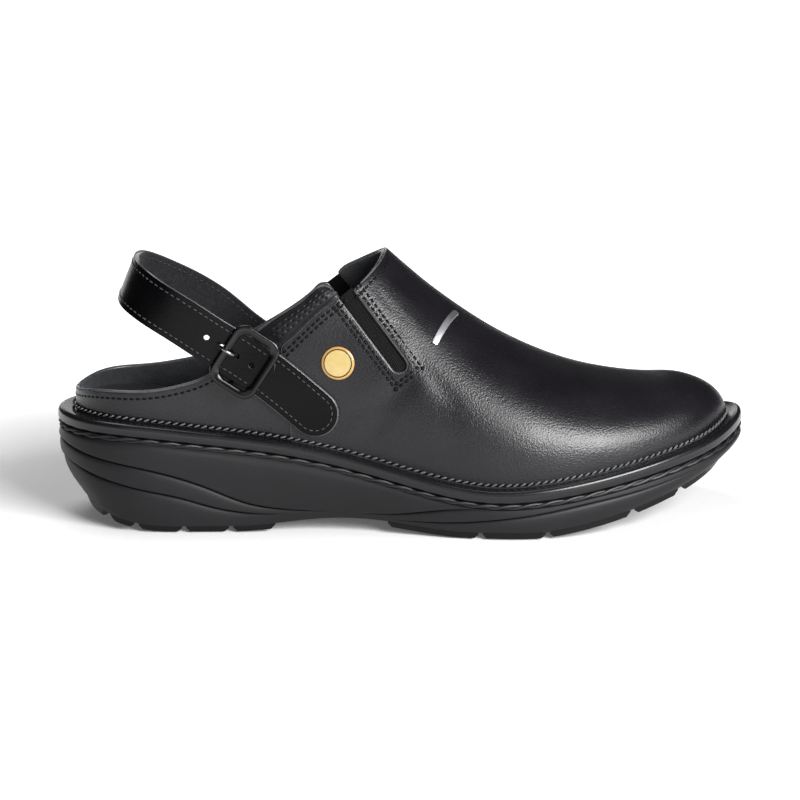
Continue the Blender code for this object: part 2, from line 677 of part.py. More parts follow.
def gore_cutter(side, collection):
    """Slot from above its mouth to its round end, across one side of the upper."""
    mouth, along, across, length = gore_frame(side)
    radius = GORE_SLOT_WIDTH / 2.0
    start = mouth - along * GORE_SLOT_WIDTH
    bend = np.linspace(-math.pi / 2.0, math.pi / 2.0, 9)[:, None]
    centre = mouth + along * (length - radius)
    arc = centre + radius * (np.cos(bend) * along + np.sin(bend) * across)
    outline = np.vstack([start - across * radius, arc, start + across * radius])
    near, far = BALL_WIDTH * 0.1, BALL_WIDTH * 0.6
    sign = -1.0 if side == "lateral" else 1.0
    rings = [
        np.column_stack([outline[:, 0], np.full(len(outline), sign * y), outline[:, 1]]) for y in (near, far)
    ]
    return loft(f"gore_slot_{side}", rings, collection)


def make_upper(collection, cutters, finish):
    """Hollow upper: one wall all round, stepped down to its lining layer behind the outer front piece."""
    upper = shell("upper", 0.0, LINING_WALL + FRONT_PIECE_WALL, collection, finish)
    for side in ("lateral", "medial"):
        boolean(upper, gore_cutter(side, cutters), "DIFFERENCE")
    # Finer over its arch than the wall, so that the two surfaces' edges cross cleanly at every width
    step = shell(
        "rear_step", LINING_WALL, LINING_WALL + FRONT_PIECE_WALL * 3.0, cutters,
        skirt=LEDGE_WIDTH, steps=REAR_STEP_ARCH_STEPS,
    )
    boolean(step, behind_front_piece(cutters), "INTERSECT")
    boolean(upper, step, "DIFFERENCE")
    boolean(upper, topline_cutter(cutters), "DIFFERENCE")
    return upper


def wall_strip(name, side, middle, across, low, high, inner, outer, collection, finish):
    """Solid that lies on the upper's wall.

    middle is a line of side-view points, across the unit direction of its width at each point, low and high
    the reach to either side, and inner and outer the offsets from the last, one value per row and column.
    """
    columns = inner.shape[1]
    shares = np.linspace(0.0, 1.0, columns)[None, :, None]
    reach = low[:, None, None] + (high - low)[:, None, None] * shares
    flat = middle[:, None, :] + across[:, None, :] * reach
    over = wall_point(side, flat[..., 0], flat[..., 1], outer)
    under = wall_point(side, flat[..., 0], flat[..., 1], inner)
    rings = np.concatenate([over, under[:, ::-1]], axis=1)
    return loft(name, rings, collection, finish)


def normals_of(line):
    """Unit vectors across a side-view line."""
    along = np.gradient(line, axis=0)
    along /= np.linalg.norm(along, axis=1, keepdims=True)
    return np.column_stack([-along[:, 1], along[:, 0]])


def make_collar_pad(side, collection, finish):
    """Padded collar panel on the outside of the lining wall, from the front piece's edge to the top edge."""
    rows, columns = 18, 7
    top = side_scale(TOPLINE[side])[8:13]
    low = side_scale(FRONT_EDGE[side])[3:7]
    top_line = smooth_line(top, rows) + (0.0, -GAP)
    low_line = smooth_line(low, rows) + (-GAP * 2.0, GAP * 3.0)
    across = top_line - low_line
    width = np.linalg.norm(across, axis=1)
    shares = np.linspace(0.0, 1.0, columns)[None, :]
    way = np.linspace(0.0, 1.0, rows)[:, None]
    ends = np.clip((way - PAD_FLAT_END) / PAD_FLAT_END, 0.0, 1.0) * np.clip((1.0 - way) * 6.0, 0.2, 1.0)
    swell = np.sin(math.pi * np.clip(shares, 0.02, 0.98)) ** 0.5 * ends
    outer = LINING_WALL + PAD_EDGE + (PAD_THICKNESS - PAD_EDGE) * swell
    inner = np.full((rows, columns), LINING_WALL + GAP)
    return wall_strip(
        f"collar_pad_{side}", side, low_line, across / width[:, None], np.zeros(rows), width,
        inner, outer, collection, finish,
    )


def make_gore(side, collection, finish):
    """Elastic gore that fills its slot."""
    mouth, along, across, length = gore_frame(side)
    radius = GORE_SLOT_WIDTH / 2.0 - GAP
    rows, columns = 14, 5
    end = length - GORE_SLOT_WIDTH / 2.0
    bend = end + radius * np.sin(np.linspace(0.3, 1.5, 5))
    way = np.concatenate([np.linspace(GAP * 2.0, end, rows - 5), bend])
    half = np.where(way <= end, radius, np.sqrt(np.maximum(radius ** 2 - (way - end) ** 2, 0.0)))
    middle = mouth + along * way[:, None]
    inner = np.full((rows, columns), GAP)
    return wall_strip(
        f"gore_{side}", side, middle, np.tile(across, (rows, 1)), -half, half,
        inner, inner + GORE_THICKNESS, collection, finish,
    )


STACK_ON_UPPER = LINING_WALL + FRONT_PIECE_WALL + GAP
STRAP_FACE = STACK_ON_UPPER + ANCHOR_THICKNESS + GAP


def make_anchor(collection, finish):
    """Tab that holds the buckle's pin and is sewn to the outer quarter, with a round lower end."""
    rows, columns = 22, 7
    line = smooth_line(side_scale(ANCHOR_LINE), STRAP_FINE)
    lengths = travelled(line)
    radius = STRAP_WIDTH / 2.0
    end = lengths[-1] - radius
    start = PIN_DIAMETER / 2.0 + GAP
    bend = end + radius * np.sin(np.linspace(0.2, 1.54, 8))
    way = np.concatenate([np.linspace(start, end, rows - 8), bend])
    middle = np.column_stack([np.interp(way, lengths, line[:, axis]) for axis in (0, 1)])
    fine = normals_of(line)
    across = np.column_stack([np.interp(way, lengths, fine[:, axis]) for axis in (0, 1)])
    half = np.where(way <= end, radius, np.sqrt(np.maximum(radius ** 2 - (way - end) ** 2, 0.0)))
    inner = np.full((rows, columns), STACK_ON_UPPER)
    return wall_strip(
        "strap_anchor", "lateral", middle, across, -half, half,
        inner, inner + ANCHOR_THICKNESS, collection, finish,
    )


def strap_frame(count):
    """Middle points, width directions and outward directions along the heel strap.

    The strap starts under the buckle on the outer quarter, runs freely round the heel and ends on the
    inner quarter. On the quarters its width follows the wall, and in between it leans as the route says.
    """
    face = {"lateral": STRAP_FACE, "medial": STACK_ON_UPPER}
    knots, widths = [], []
    for side in ("lateral", "medial"):
        spots = side_scale(STRAP_ON_WALL[side])
        travel = np.gradient(spots, axis=0)
        travel /= np.linalg.norm(travel, axis=1, keepdims=True)
        turn = 1.0 if side == "lateral" else -1.0
        flat = np.column_stack([travel[:, 1], -travel[:, 0]]) * turn
        depth = face[side] + STRAP_THICKNESS / 2.0
        reach = STRAP_WIDTH / 2.0
        centre = wall_point(side, spots[:, 0], spots[:, 1], depth)
        upper = wall_point(side, *(spots + flat * reach).T, depth)
        lower = wall_point(side, *(spots - flat * reach).T, depth)
        across = upper - lower
        across /= np.linalg.norm(across, axis=1, keepdims=True)
        if side == "lateral":
            knots.append(centre)
            widths.append(across)
            free = STRAP_ROUTE[:, :3] * (SOLE_LENGTH, BALL_WIDTH, INSTEP_HEIGHT)
            lean = STRAP_ROUTE[:, 3]
            knots.append(free)
            widths.append(np.column_stack([lean, np.zeros(len(lean)), np.sqrt(1.0 - lean ** 2)]))
        else:
            knots.append(centre)
            widths.append(across)
    knots, widths = np.vstack(knots), np.vstack(widths)
    lengths = travelled(knots)
    at = np.linspace(0.0, lengths[-1], count)
    middle = np.column_stack([cubic_through(lengths, knots[:, axis])(at) for axis in range(3)])
    width = np.column_stack([np.interp(at, lengths, widths[:, axis]) for axis in range(3)])
    along = np.gradient(middle, axis=0)
    along /= np.linalg.norm(along, axis=1, keepdims=True)
    width -= along * np.sum(width * along, axis=1, keepdims=True)
    width /= np.linalg.norm(width, axis=1, keepdims=True)
    return middle, width, np.cross(width, along), along


def make_strap(collection, cutters, finish):
    """Heel strap: a flat band with eased edges and a row of punched holes near the buckle."""
    middle, width, out, along = strap_frame(STRAP_STEPS)
    half, thick = STRAP_WIDTH / 2.0, STRAP_THICKNESS / 2.0
    ease = STRAP_THICKNESS * 0.22
    section = np.array([
        (-half + ease, thick), (-half / 2.0, thick), (0.0, thick), (half / 2.0, thick), (half - ease, thick),
        (half, thick - ease), (half, -thick + ease),
        (half - ease, -thick), (0.0, -thick), (-half + ease, -thick),
        (-half, -thick + ease), (-half, thick - ease),
    ])
    narrow = np.ones(len(middle))
    tail = np.array([0.45, 0.80, 0.95])
    narrow[:3] = tail
    narrow[-3:] = tail[::-1]
    rings = (
        middle[:, None, :]
        + width[:, None, :] * (section[None, :, 0] * narrow[:, None])[..., None]
        + out[:, None, :] * section[None, :, 1, None]
    )
    strap = loft("heel_strap", rings, collection, finish)
    fine, _, axes, _ = strap_frame(STRAP_FINE)
    lengths = travelled(fine)
    first = lengths[buckle_step(fine)] + PRONG_HOLE - HOLE_PITCH
    reach = STRAP_THICKNESS * 4.0
    for number in range(STRAP_HOLES):
        nearest = int(np.argmin(np.abs(lengths - first - number * HOLE_PITCH)))
        spot, axis = fine[nearest], axes[nearest]
        ends = (spot - axis * reach, spot + axis * reach)
        hole = rod(f"strap_hole_{number}", *ends, HOLE_DIAMETER / 2.0, cutters)
        boolean(strap, hole, "DIFFERENCE")
    return strap


def rod(name, start, end, radius, collection, finish=None, sides=12):
    """Round bar between two points."""
    start, end = np.asarray(start, float), np.asarray(end, float)
    axis = (end - start) / np.linalg.norm(end - start)
    helper = np.array([0.0, 0.0, 1.0]) if abs(axis[2]) < 0.9 else np.array([1.0, 0.0, 0.0])
    first = np.cross(axis, helper)
    first /= np.linalg.norm(first)
    second = np.cross(axis, first)
    angles = np.linspace(0.0, 2.0 * math.pi, sides, endpoint=False)
    circle = np.cos(angles)[:, None] * first + np.sin(angles)[:, None] * second
    return loft(name, [start + circle * radius, end + circle * radius], collection, finish)


def buckle_step(middle):
    """Number of the point of the strap's middle line that the buckle is centred on, on the outer side."""
    gap = np.hypot(*(middle[:, (0, 2)] - side_scale(BUCKLE_PLACE)).T)
    return int(np.argmin(np.where(middle[:, 1] < 0.0, gap, np.inf)))


def buckle_axes():
    """Centre of the buckle on the strap's middle, its direction to the toe, across and outwards."""
    middle, width, out, along = strap_frame(STRAP_FINE)
    nearest = buckle_step(middle)
    return middle[nearest], -along[nearest], width[nearest], out[nearest]


def make_buckle(collection, cutters, finish):
    """Rounded square frame over the strap, with a pin under it that the anchor tab holds."""
    centre, along, across, out = buckle_axes()
    half_long = BUCKLE_LENGTH / 2.0
    half_wide = STRAP_WIDTH / 2.0 + GAP * 3.0 + BUCKLE_BAR
    corner = BUCKLE_BAR * 1.6
    angles = np.linspace(0.0, 2.0 * math.pi, 40, endpoint=False)
    reach = np.column_stack([
        np.sign(np.cos(angles)) * (half_long - corner) + np.cos(angles) * corner,
        np.sign(np.sin(angles)) * (half_wide - corner) + np.sin(angles) * corner,
    ])
    inward = 1.0 - BUCKLE_BAR / np.array([half_long, half_wide])
    floor = STRAP_THICKNESS / 2.0 + BUCKLE_CLEARANCE
    rings = []
    for share, lift in BUCKLE_SECTION:
        flat = reach * (1.0 + (inward - 1.0) * share)
        height = floor + BUCKLE_THICKNESS * lift
        rings.append(centre + flat[:, :1] * along + flat[:, 1:] * across + height * out)
    rings = np.asarray(rings)
    rows, columns = rings.shape[:2]
    faces = grid_faces(rows, columns, closed_columns=True)
    last = (rows - 1) * columns
    faces += [(last + k, last + (k + 1) % columns, (k + 1) % columns, k) for k in range(columns)]
    frame = mesh_object("buckle_frame", rings.reshape(-1, 3), faces, collection, finish)
    drop = STRAP_THICKNESS / 2.0 + GAP + PIN_DIAMETER / 2.0
    ends = [centre - drop * out + sign * (half_wide - BUCKLE_BAR / 2.0) * across for sign in (-1.0, 1.0)]
    boolean(frame, rod("buckle_pin", ends[0], ends[1], PIN_DIAMETER / 2.0, cutters), "UNION")
    for number, end in enumerate(ends):
        post = rod(
            f"buckle_post_{number}", end - PIN_DIAMETER / 2.0 * out,
            end + (drop + floor + BUCKLE_THICKNESS / 2.0) * out, PIN_DIAMETER * 0.6, cutters,
        )
        boolean(frame, post, "UNION")
    return frame


def make_prong(collection, finish):
    """Prong that comes up through the strap's hole and lies over the frame's rear bar."""
    centre, along, across, out = buckle_axes()
    rear = -BUCKLE_LENGTH / 2.0
    hole = -PRONG_HOLE
    low = -STRAP_THICKNESS / 2.0 - GAP - PIN_DIAMETER * 0.35
    top = STRAP_THICKNESS / 2.0 + BUCKLE_CLEARANCE + GAP + BUCKLE_THICKNESS + PIN_DIAMETER * 0.4
    route = np.array([
        (-PIN_DIAMETER / 2.0 - GAP * 2.4, low), (hole + PIN_DIAMETER / 2.0, low),
        (hole + PIN_DIAMETER / 9.0, low * 0.6), (hole, 0.0), (hole - PIN_DIAMETER / 6.0, -low * 0.9),
        (rear + BUCKLE_BAR, top), (rear + BUCKLE_BAR * 0.2, top),
    ])
    line = smooth_line(route, 14)
    radius = np.full(14, PIN_DIAMETER * 0.36)
    radius[-1] *= 0.6
    tangent = np.gradient(line, axis=0)
    tangent /= np.linalg.norm(tangent, axis=1, keepdims=True)
    angles = np.linspace(0.0, 2.0 * math.pi, 8, endpoint=False)
    rings = []
    for (run, lift), (run_step, lift_step), size in zip(line, tangent, radius):
        spot = centre + run * along + lift * out
        side = -lift_step * along + run_step * out
        rings.append(spot + size * (np.cos(angles)[:, None] * across + np.sin(angles)[:, None] * side))
    return loft("buckle_prong", rings, collection, finish)


def make_badge(collection, finish):
    """Plain round badge, slightly domed, on the outer side of the front piece."""
    place = side_scale(BADGE_PLACE)
    radius = BADGE_DIAMETER / 2.0
    angles = np.linspace(0.0, 2.0 * math.pi, 24, endpoint=False)
    rings = []
    for share, lift in ((0.3, 0.0), (1.0, 0.0), (1.0, 0.45), (0.9, 0.75), (0.6, 0.93), (0.25, 1.0)):
        spot_x = place[0] + np.cos(angles) * radius * share
        spot_z = place[1] + np.sin(angles) * radius * share
        rings.append(wall_point("lateral", spot_x, spot_z, STACK_ON_UPPER + BADGE_THICKNESS * lift))
    return loft("badge", rings, collection, finish)


def make_bar(collection, finish):
    """Slim plain metal bar that lies across the outer shoulder of the vamp."""
    share = np.linspace(0.0, 1.0, BAR_STEPS)[:, None]
    places = BAR_LINE[0] + (BAR_LINE[1] - BAR_LINE[0]) * share
    turn, arch = turn_of(places[:, 0]), places[:, 1] * math.pi
    middle = skin_point(turn, arch, np.full(BAR_STEPS, STACK_ON_UPPER))
    out = last_normal(turn, arch)
    along = np.gradient(middle, axis=0)
    across = np.cross(out, along)
    across /= np.linalg.norm(across, axis=1, keepdims=True)
    half = np.full(BAR_STEPS, BAR_WIDTH / 2.0)
    half[[0, -1]] *= 0.7
    rings = [
        middle + across * (half * side)[:, None] + out * (BAR_THICKNESS * lift)
        for side, lift in ((-1.0, 0.0), (-1.0, 0.6), (-0.5, 1.0), (0.5, 1.0), (1.0, 0.6), (1.0, 0.0))
    ]
    return loft("vamp_bar", np.swapaxes(rings, 0, 1), collection, finish)


def make_insole(collection, finish):
    """Insole on the sole inside the upper, with a cupped edge round the heel."""
    rings = []
    for way, lift in INSOLE_PROFILE:
        flat = outline_ring(LEDGE_WIDTH + INSOLE_INSET + INSOLE_CUP * way, SOLE_STATIONS - 4)
        height = ledge_height(flat[:, 0]) + GAP + (INSOLE_THICKNESS - GAP) * lift
        rings.append(np.column_stack([flat, height]))
    return ring_loft("insole", rings, collection, finish)


def main():
    """Builds the clog's pieces, each as its own object."""
    clear_scene()
    body = collection_named(BODY_COLLECTION)
    cutters = collection_named(CUTTER_COLLECTION)
    polyurethane = material("sole polyurethane", (0.022, 0.022, 0.024), 0.55)
    rubber = material("tread rubber", (0.012, 0.012, 0.013), 0.35)
    leather = material("smooth black leather", (0.013, 0.013, 0.014), 0.35)
    soft_leather = material("soft collar leather", (0.018, 0.018, 0.019), 0.50)
    elastic = material("black elastic", (0.012, 0.012, 0.012), 0.85)
    lining = material("grey lining leather", (0.060, 0.060, 0.063), 0.80)
    lacquer = material("black lacquered steel", (0.008, 0.008, 0.009), 0.15, 0.2)
    yellow = material("yellow enamel", (0.820, 0.640, 0.220), 0.30)
    silver = material("satin silver", (0.620, 0.620, 0.630), 0.30, 1.0)
    make_sole(body, polyurethane)
    make_tread("tread_heel", *HEEL_TREAD, HEEL_TREAD_SLOTS, body, cutters, rubber)
    make_tread("tread_forefoot", *FOREFOOT_TREAD, FOREFOOT_TREAD_SLOTS, body, cutters, rubber)
    make_insole(body, lining)
    make_upper(body, cutters, leather)
    for side in ("lateral", "medial"):
        make_collar_pad(side, body, soft_leather)
        make_gore(side, body, elastic)
    make_anchor(body, leather)
    make_strap(body, cutters, leather)
    make_buckle(body, cutters, lacquer)
    make_prong(body, lacquer)
    make_badge(body, yellow)
    make_bar(body, silver)


main()
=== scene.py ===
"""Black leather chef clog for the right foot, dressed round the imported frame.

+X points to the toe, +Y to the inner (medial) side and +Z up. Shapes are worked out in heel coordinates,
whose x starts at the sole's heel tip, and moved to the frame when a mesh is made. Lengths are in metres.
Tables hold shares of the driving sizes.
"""

from __future__ import annotations

import logging
import math
from collections.abc import Callable, Sequence
from dataclasses import dataclass, replace
from enum import Enum

import bpy
import numpy as np
from mathutils import Matrix, Vector


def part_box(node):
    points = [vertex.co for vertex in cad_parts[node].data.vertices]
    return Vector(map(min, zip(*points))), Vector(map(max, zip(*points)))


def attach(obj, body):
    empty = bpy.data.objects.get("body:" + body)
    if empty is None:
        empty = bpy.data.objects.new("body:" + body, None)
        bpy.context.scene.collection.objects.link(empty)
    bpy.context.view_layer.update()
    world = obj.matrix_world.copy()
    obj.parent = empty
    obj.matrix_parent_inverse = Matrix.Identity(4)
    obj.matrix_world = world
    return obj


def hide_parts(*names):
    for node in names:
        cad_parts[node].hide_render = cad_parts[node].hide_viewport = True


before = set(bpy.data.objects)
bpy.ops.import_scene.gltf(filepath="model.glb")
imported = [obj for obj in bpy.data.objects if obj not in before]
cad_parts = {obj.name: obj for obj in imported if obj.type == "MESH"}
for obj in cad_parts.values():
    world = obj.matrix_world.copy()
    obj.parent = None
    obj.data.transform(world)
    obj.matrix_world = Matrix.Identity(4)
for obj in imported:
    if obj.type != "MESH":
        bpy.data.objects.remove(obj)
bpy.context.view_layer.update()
LOG = logging.getLogger("chef_clog")

Array = np.ndarray
MM = 0.001


class Side(Enum):
    """Outer or inner side of the foot."""

    LATERAL = "lateral"
    MEDIAL = "medial"


# Driving sizes and shape tables


@dataclass(frozen=True)
class Sizes:
    """Driving sizes of the clog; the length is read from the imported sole."""

    length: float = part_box("sole")[1].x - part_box("sole")[0].x
    ball_width: float = 0.106
    heel_height: float = 0.0475
    instep_height: float = 0.112
    welt_width: float = 0.0095
    band_height: float = 0.0055
    band_round: float = 0.0012
    stitch_groove_depth: float = 0.0018
    stitch_groove_height: float = 0.0024
    side_tuck: float = 0.0085
    tread_thickness: float = 0.0026
    tread_inset: float = 0.0013
    heel_rocker: float = 0.0125
    waist_rise: float = 0.0038
    toe_spring: float = 0.0247
    lining: float = 0.0019
    front_piece: float = 0.0011
    gap: float = 0.0003
    strap_width: float = 0.0190
    strap_thickness: float = 0.0022
    anchor_thickness: float = 0.0018


SIZE = Sizes()

# Plan outline of the sole: station, outer side and inner side, from the heel's tip to the toe's tip
OUTLINE = np.array([
    (0.000, 0.000, 0.000), (0.015, -0.151, 0.151), (0.050, -0.262, 0.262), (0.100, -0.323, 0.322),
    (0.170, -0.340, 0.335), (0.270, -0.345, 0.312), (0.380, -0.370, 0.298), (0.480, -0.415, 0.326),
    (0.560, -0.465, 0.392), (0.640, -0.500, 0.466), (0.700, -0.498, 0.494), (0.770, -0.468, 0.499),
    (0.840, -0.408, 0.478), (0.900, -0.325, 0.432), (0.945, -0.232, 0.366), (0.980, -0.104, 0.266),
    (1.000, 0.094, 0.094),
])

# Top of the welt: station, height
LEDGE_PROFILE = np.array([
    (0.000, 1.000), (0.090, 0.985), (0.200, 0.916), (0.290, 0.848), (0.377, 0.758), (0.462, 0.632),
    (0.538, 0.514), (0.610, 0.448), (0.685, 0.463), (0.753, 0.522), (0.822, 0.602), (0.890, 0.690),
    (0.949, 0.783), (1.000, 0.895),
])

# Flat spots of the tread: first and last station of the heel's and of the forefoot's
HEEL_FLAT = (0.165, 0.250)
FOREFOOT_FLAT = (0.585, 0.680)

# Two lines that flow along the sole's side: station, upper height, upper depth, lower height, lower depth
SIDE_LINES = np.array([
    (0.000, 0.750, 1.0, 0.600, 1.0), (0.060, 0.660, 1.0, 0.490, 1.0), (0.125, 0.583, 1.0, 0.390, 1.0),
    (0.180, 0.495, 1.0, 0.318, 1.0), (0.222, 0.400, 1.0, 0.240, 1.0), (0.267, 0.285, 1.0, 0.185, 0.9),
    (0.312, 0.225, 0.9, 0.165, 0.2), (0.370, 0.200, 0.3, 0.155, 0.0), (0.430, 0.190, 0.2, 0.150, 0.0),
    (0.490, 0.205, 0.8, 0.140, 0.2), (0.550, 0.262, 0.8, 0.145, 0.8), (0.620, 0.285, 0.0, 0.185, 1.0),
    (0.690, 0.310, 0.0, 0.245, 1.0), (0.747, 0.365, 0.0, 0.310, 1.0), (0.829, 0.455, 0.0, 0.395, 1.0),
    (0.910, 0.560, 0.0, 0.500, 0.6), (1.000, 0.690, 0.0, 0.620, 0.0),
])

# Share of the tuck that the sole's bottom edge keeps: station, share; all of it at both tips
TUCK_ALONG = np.array([
    (0.000, 0.90), (0.020, 0.82), (0.060, 0.50), (0.110, 0.28), (0.170, 0.18), (0.280, 0.18), (0.380, 0.38),
    (0.480, 0.38), (0.560, 0.28), (0.660, 0.26), (0.800, 0.32), (0.900, 0.40), (0.960, 0.60), (1.000, 0.85),
])

# Section of the welt's band: inset as a share of its rounding, drop as a share of its height
BAND_PROFILE = np.array([
    (1.50, 0.00), (0.80, 0.03), (0.30, 0.12), (0.05, 0.26), (0.00, 0.42), (0.00, 0.66), (0.15, 0.82),
    (0.60, 0.95), (1.20, 1.00),
])

# Section of the sewn groove: drop as a share of its height, inset as a share of its depth
GROOVE_PROFILE = np.array([(0.08, 1.00), (0.45, 1.10), (0.80, 0.90), (1.00, 0.45)])

# Pull-in of the sole's side below the welt: share of the way down, share of the tuck
SIDE_TUCK_PROFILE = np.array([
    (0.00, 0.10), (0.20, 0.00), (0.45, 0.12), (0.65, 0.32), (0.82, 0.58), (1.00, 1.00),
])

# Section of the inner sole's cup: inset from the feather in mm, lift as a share of its thickness
CUP_PROFILE = np.array([
    (2.2, 0.0), (0.7, 0.02), (0.6, 0.45), (1.0, 0.72), (1.8, 0.92), (3.0, 1.0), (5.0, 0.96), (9.0, 0.90),
])

# Ridge of the last: station along the last, height over the welt, sideways place
RIDGE = np.array([
    (0.000, 0.808, 0.000), (0.120, 0.845, 0.010), (0.250, 0.869, 0.020), (0.350, 0.857, 0.028),
    (0.420, 0.792, 0.034), (0.475, 0.714, 0.038), (0.520, 0.645, 0.042), (0.580, 0.562, 0.046),
    (0.643, 0.473, 0.052), (0.705, 0.386, 0.060), (0.765, 0.310, 0.068), (0.832, 0.243, 0.076),
    (0.885, 0.204, 0.082), (0.925, 0.183, 0.086), (0.955, 0.150, 0.089), (0.978, 0.108, 0.092),
    (1.000, 0.000, 0.094),
])

# Fullness of the last's sections: station, power of the width, power of the height, bulge over the feather
FULLNESS = np.array([
    (0.00, 0.90, 1.00, 0.000), (0.30, 0.86, 1.00, 0.010), (0.50, 0.86, 0.95, 0.022),
    (0.68, 0.90, 0.90, 0.026), (0.85, 0.90, 0.84, 0.020), (1.00, 0.92, 0.80, 0.006),
])

# Top edge of the upper seen from each side: station, height; the gore's notch is a corner
COLLAR_LINE = {
    Side.LATERAL: np.array([
        (-0.100, 0.470), (0.022, 0.487), (0.048, 0.508), (0.089, 0.519), (0.134, 0.523), (0.178, 0.542),
        (0.223, 0.583), (0.260, 0.660), (0.291, 0.745), (0.332, 0.820), (0.360, 0.868), (0.375, 0.902),
        (0.385, 0.913), (0.396, 0.904), (0.409, 0.872),
    ]),
    Side.MEDIAL: np.array([
        (-0.100, 0.470), (0.022, 0.487), (0.048, 0.508), (0.089, 0.519), (0.134, 0.523), (0.178, 0.540),
        (0.223, 0.570), (0.260, 0.622), (0.291, 0.672), (0.332, 0.738), (0.360, 0.790), (0.375, 0.826),
        (0.385, 0.846), (0.392, 0.846), (0.399, 0.858),
    ]),
}
VAMP_TOP_LINE = {
    Side.LATERAL: np.array([
        (0.409, 0.872), (0.428, 0.893), (0.434, 0.906), (0.446, 0.934), (0.459, 0.964), (0.474, 1.002),
        (0.484, 1.030), (0.520, 1.200),
    ]),
    Side.MEDIAL: np.array([
        (0.399, 0.858), (0.408, 0.884), (0.414, 0.904), (0.430, 0.930), (0.448, 0.954), (0.468, 0.984),
        (0.482, 1.012), (0.520, 1.200),
    ]),
}

# Edge of the outer front piece, from the feather up to its upper corner: station, height
FRONT_EDGE = {
    Side.LATERAL: np.array([
        (0.343, 0.150), (0.338, 0.450), (0.330, 0.640), (0.326, 0.688), (0.340, 0.722), (0.358, 0.767),
        (0.386, 0.830), (0.400, 0.858), (0.407, 0.880), (0.420, 1.100),
    ]),
    Side.MEDIAL: np.array([
        (0.343, 0.150), (0.338, 0.400), (0.330, 0.575), (0.326, 0.618), (0.340, 0.652), (0.358, 0.700),
        (0.386, 0.768), (0.394, 0.800), (0.398, 0.820), (0.411, 1.100),
    ]),
}

# Elastic gore slot: station and height of its mouth and of its round end
GORE_LINE = {
    Side.LATERAL: ((0.416, 0.885), (0.4985, 0.604)),
    Side.MEDIAL: ((0.402, 0.868), (0.4850, 0.590)),
}

# Creases of the front piece: first station and height, last station and height, half width and depth in mm;
# a ridge has a negative depth
CREASES = np.array([
    (0.500, 0.560, 0.455, 0.400, 5.0, 0.50), (0.515, 0.590, 0.535, 0.430, 5.5, -0.45),
    (0.478, 0.520, 0.420, 0.440, 3.5, 0.30), (0.520, 0.640, 0.560, 0.520, 3.0, 0.25),
    (0.440, 0.860, 0.470, 0.780, 1.8, 0.16), (0.455, 0.900, 0.492, 0.800, 1.6, 0.14),
    (0.470, 0.930, 0.510, 0.840, 1.8, -0.14), (0.490, 0.760, 0.515, 0.690, 1.7, 0.15),
    (0.505, 0.800, 0.530, 0.720, 1.6, -0.12), (0.470, 0.860, 0.488, 0.770, 1.4, 0.12),
])

# Free part of the heel strap's middle line: station, sideways place, height, lean of its width to the toe
STRAP_ROUTE = np.array([
    (0.226, -0.3085, 0.728, 0.545), (0.185, -0.3070, 0.800, 0.530), (0.147, -0.2840, 0.860, 0.490),
    (0.1210, -0.2160, 0.899, 0.430), (0.1090, -0.1120, 0.915, 0.385), (0.1060, 0.0000, 0.917, 0.375),
    (0.1090, 0.1120, 0.911, 0.385), (0.1210, 0.2160, 0.892, 0.430), (0.147, 0.2800, 0.854, 0.490),
    (0.185, 0.2960, 0.803, 0.530), (0.226, 0.2880, 0.736, 0.560),
])
# Places where the strap lies on the quarters: station, height
STRAP_ON_WALL = {
    Side.LATERAL: ((0.309, 0.585), (0.291, 0.618), (0.268, 0.658)),
    Side.MEDIAL: ((0.268, 0.650), (0.300, 0.590), (0.335, 0.520)),
}
# Section of the badge: radius and lift as shares of its own, with the amber rim outside RIM_SHARE
BADGE_PROFILE = np.array([
    (0.30, 0.00), (0.97, 0.00), (1.00, 0.12), (1.00, 0.50), (0.97, 0.68), (0.92, 0.78), (0.88, 0.82),
    (0.75, 0.88), (0.50, 0.96), (0.25, 0.99), (0.05, 1.00),
])
RIM_SHARE = 0.91
# Section of the metal bar: sideways share of half its width, lift share of its thickness
BAR_SECTION = (
    (-1.0, 0.0), (-1.0, 0.55), (-0.85, 0.9), (-0.4, 1.0), (0.4, 1.0), (0.85, 0.9), (1.0, 0.55), (1.0, 0.0),
)
# Middle line of the anchor tab, from the buckle's pin to its round end: station, height
ANCHOR_LINE = ((0.281, 0.640), (0.310, 0.583), (0.345, 0.510), (0.396, 0.395))


# Curves and the last


def cubic_through(knots: Array, values: Array) -> Callable[[Array], Array]:
    """Natural cubic spline of one variable.

    Args:
        knots: growing places.
        values: the value at each place.

    Returns:
        A function that takes places and gives the spline's values there.
    """
    knots, values = np.asarray(knots, float), np.asarray(values, float)
    steps = np.diff(knots)
    count = len(knots)
    system = np.eye(count)
    right = np.zeros(count)
    for row in range(1, count - 1):
        before, after = steps[row - 1], steps[row]
        system[row, row - 1:row + 2] = before, 2.0 * (before + after), after
        slope_before = (values[row] - values[row - 1]) / before
        right[row] = 6.0 * ((values[row + 1] - values[row]) / after - slope_before)
    bends = np.linalg.solve(system, right)

    def at(place: Array) -> Array:
        """Value of the spline at each place.

        Args:
            place: places.

        Returns:
            Their values.
        """
        place = np.asarray(place, float)
        cell = np.clip(np.searchsorted(knots, place) - 1, 0, count - 2)
        step, to_next, done = steps[cell], knots[cell + 1] - place, place - knots[cell]
        curved = (bends[cell] * to_next ** 3 + bends[cell + 1] * done ** 3) / (6.0 * step)
        first = (values[cell] / step - bends[cell] * step / 6.0) * to_next
        return curved + first + (values[cell + 1] / step - bends[cell + 1] * step / 6.0) * done

    return at


def columns_at(at: Array, places: Array, table: Array) -> Array:
    """Each column of a table whose rows stand at growing places, read between them in straight steps."""
    return np.stack([np.interp(at, places, table[:, axis]) for axis in range(table.shape[1])], axis=-1)


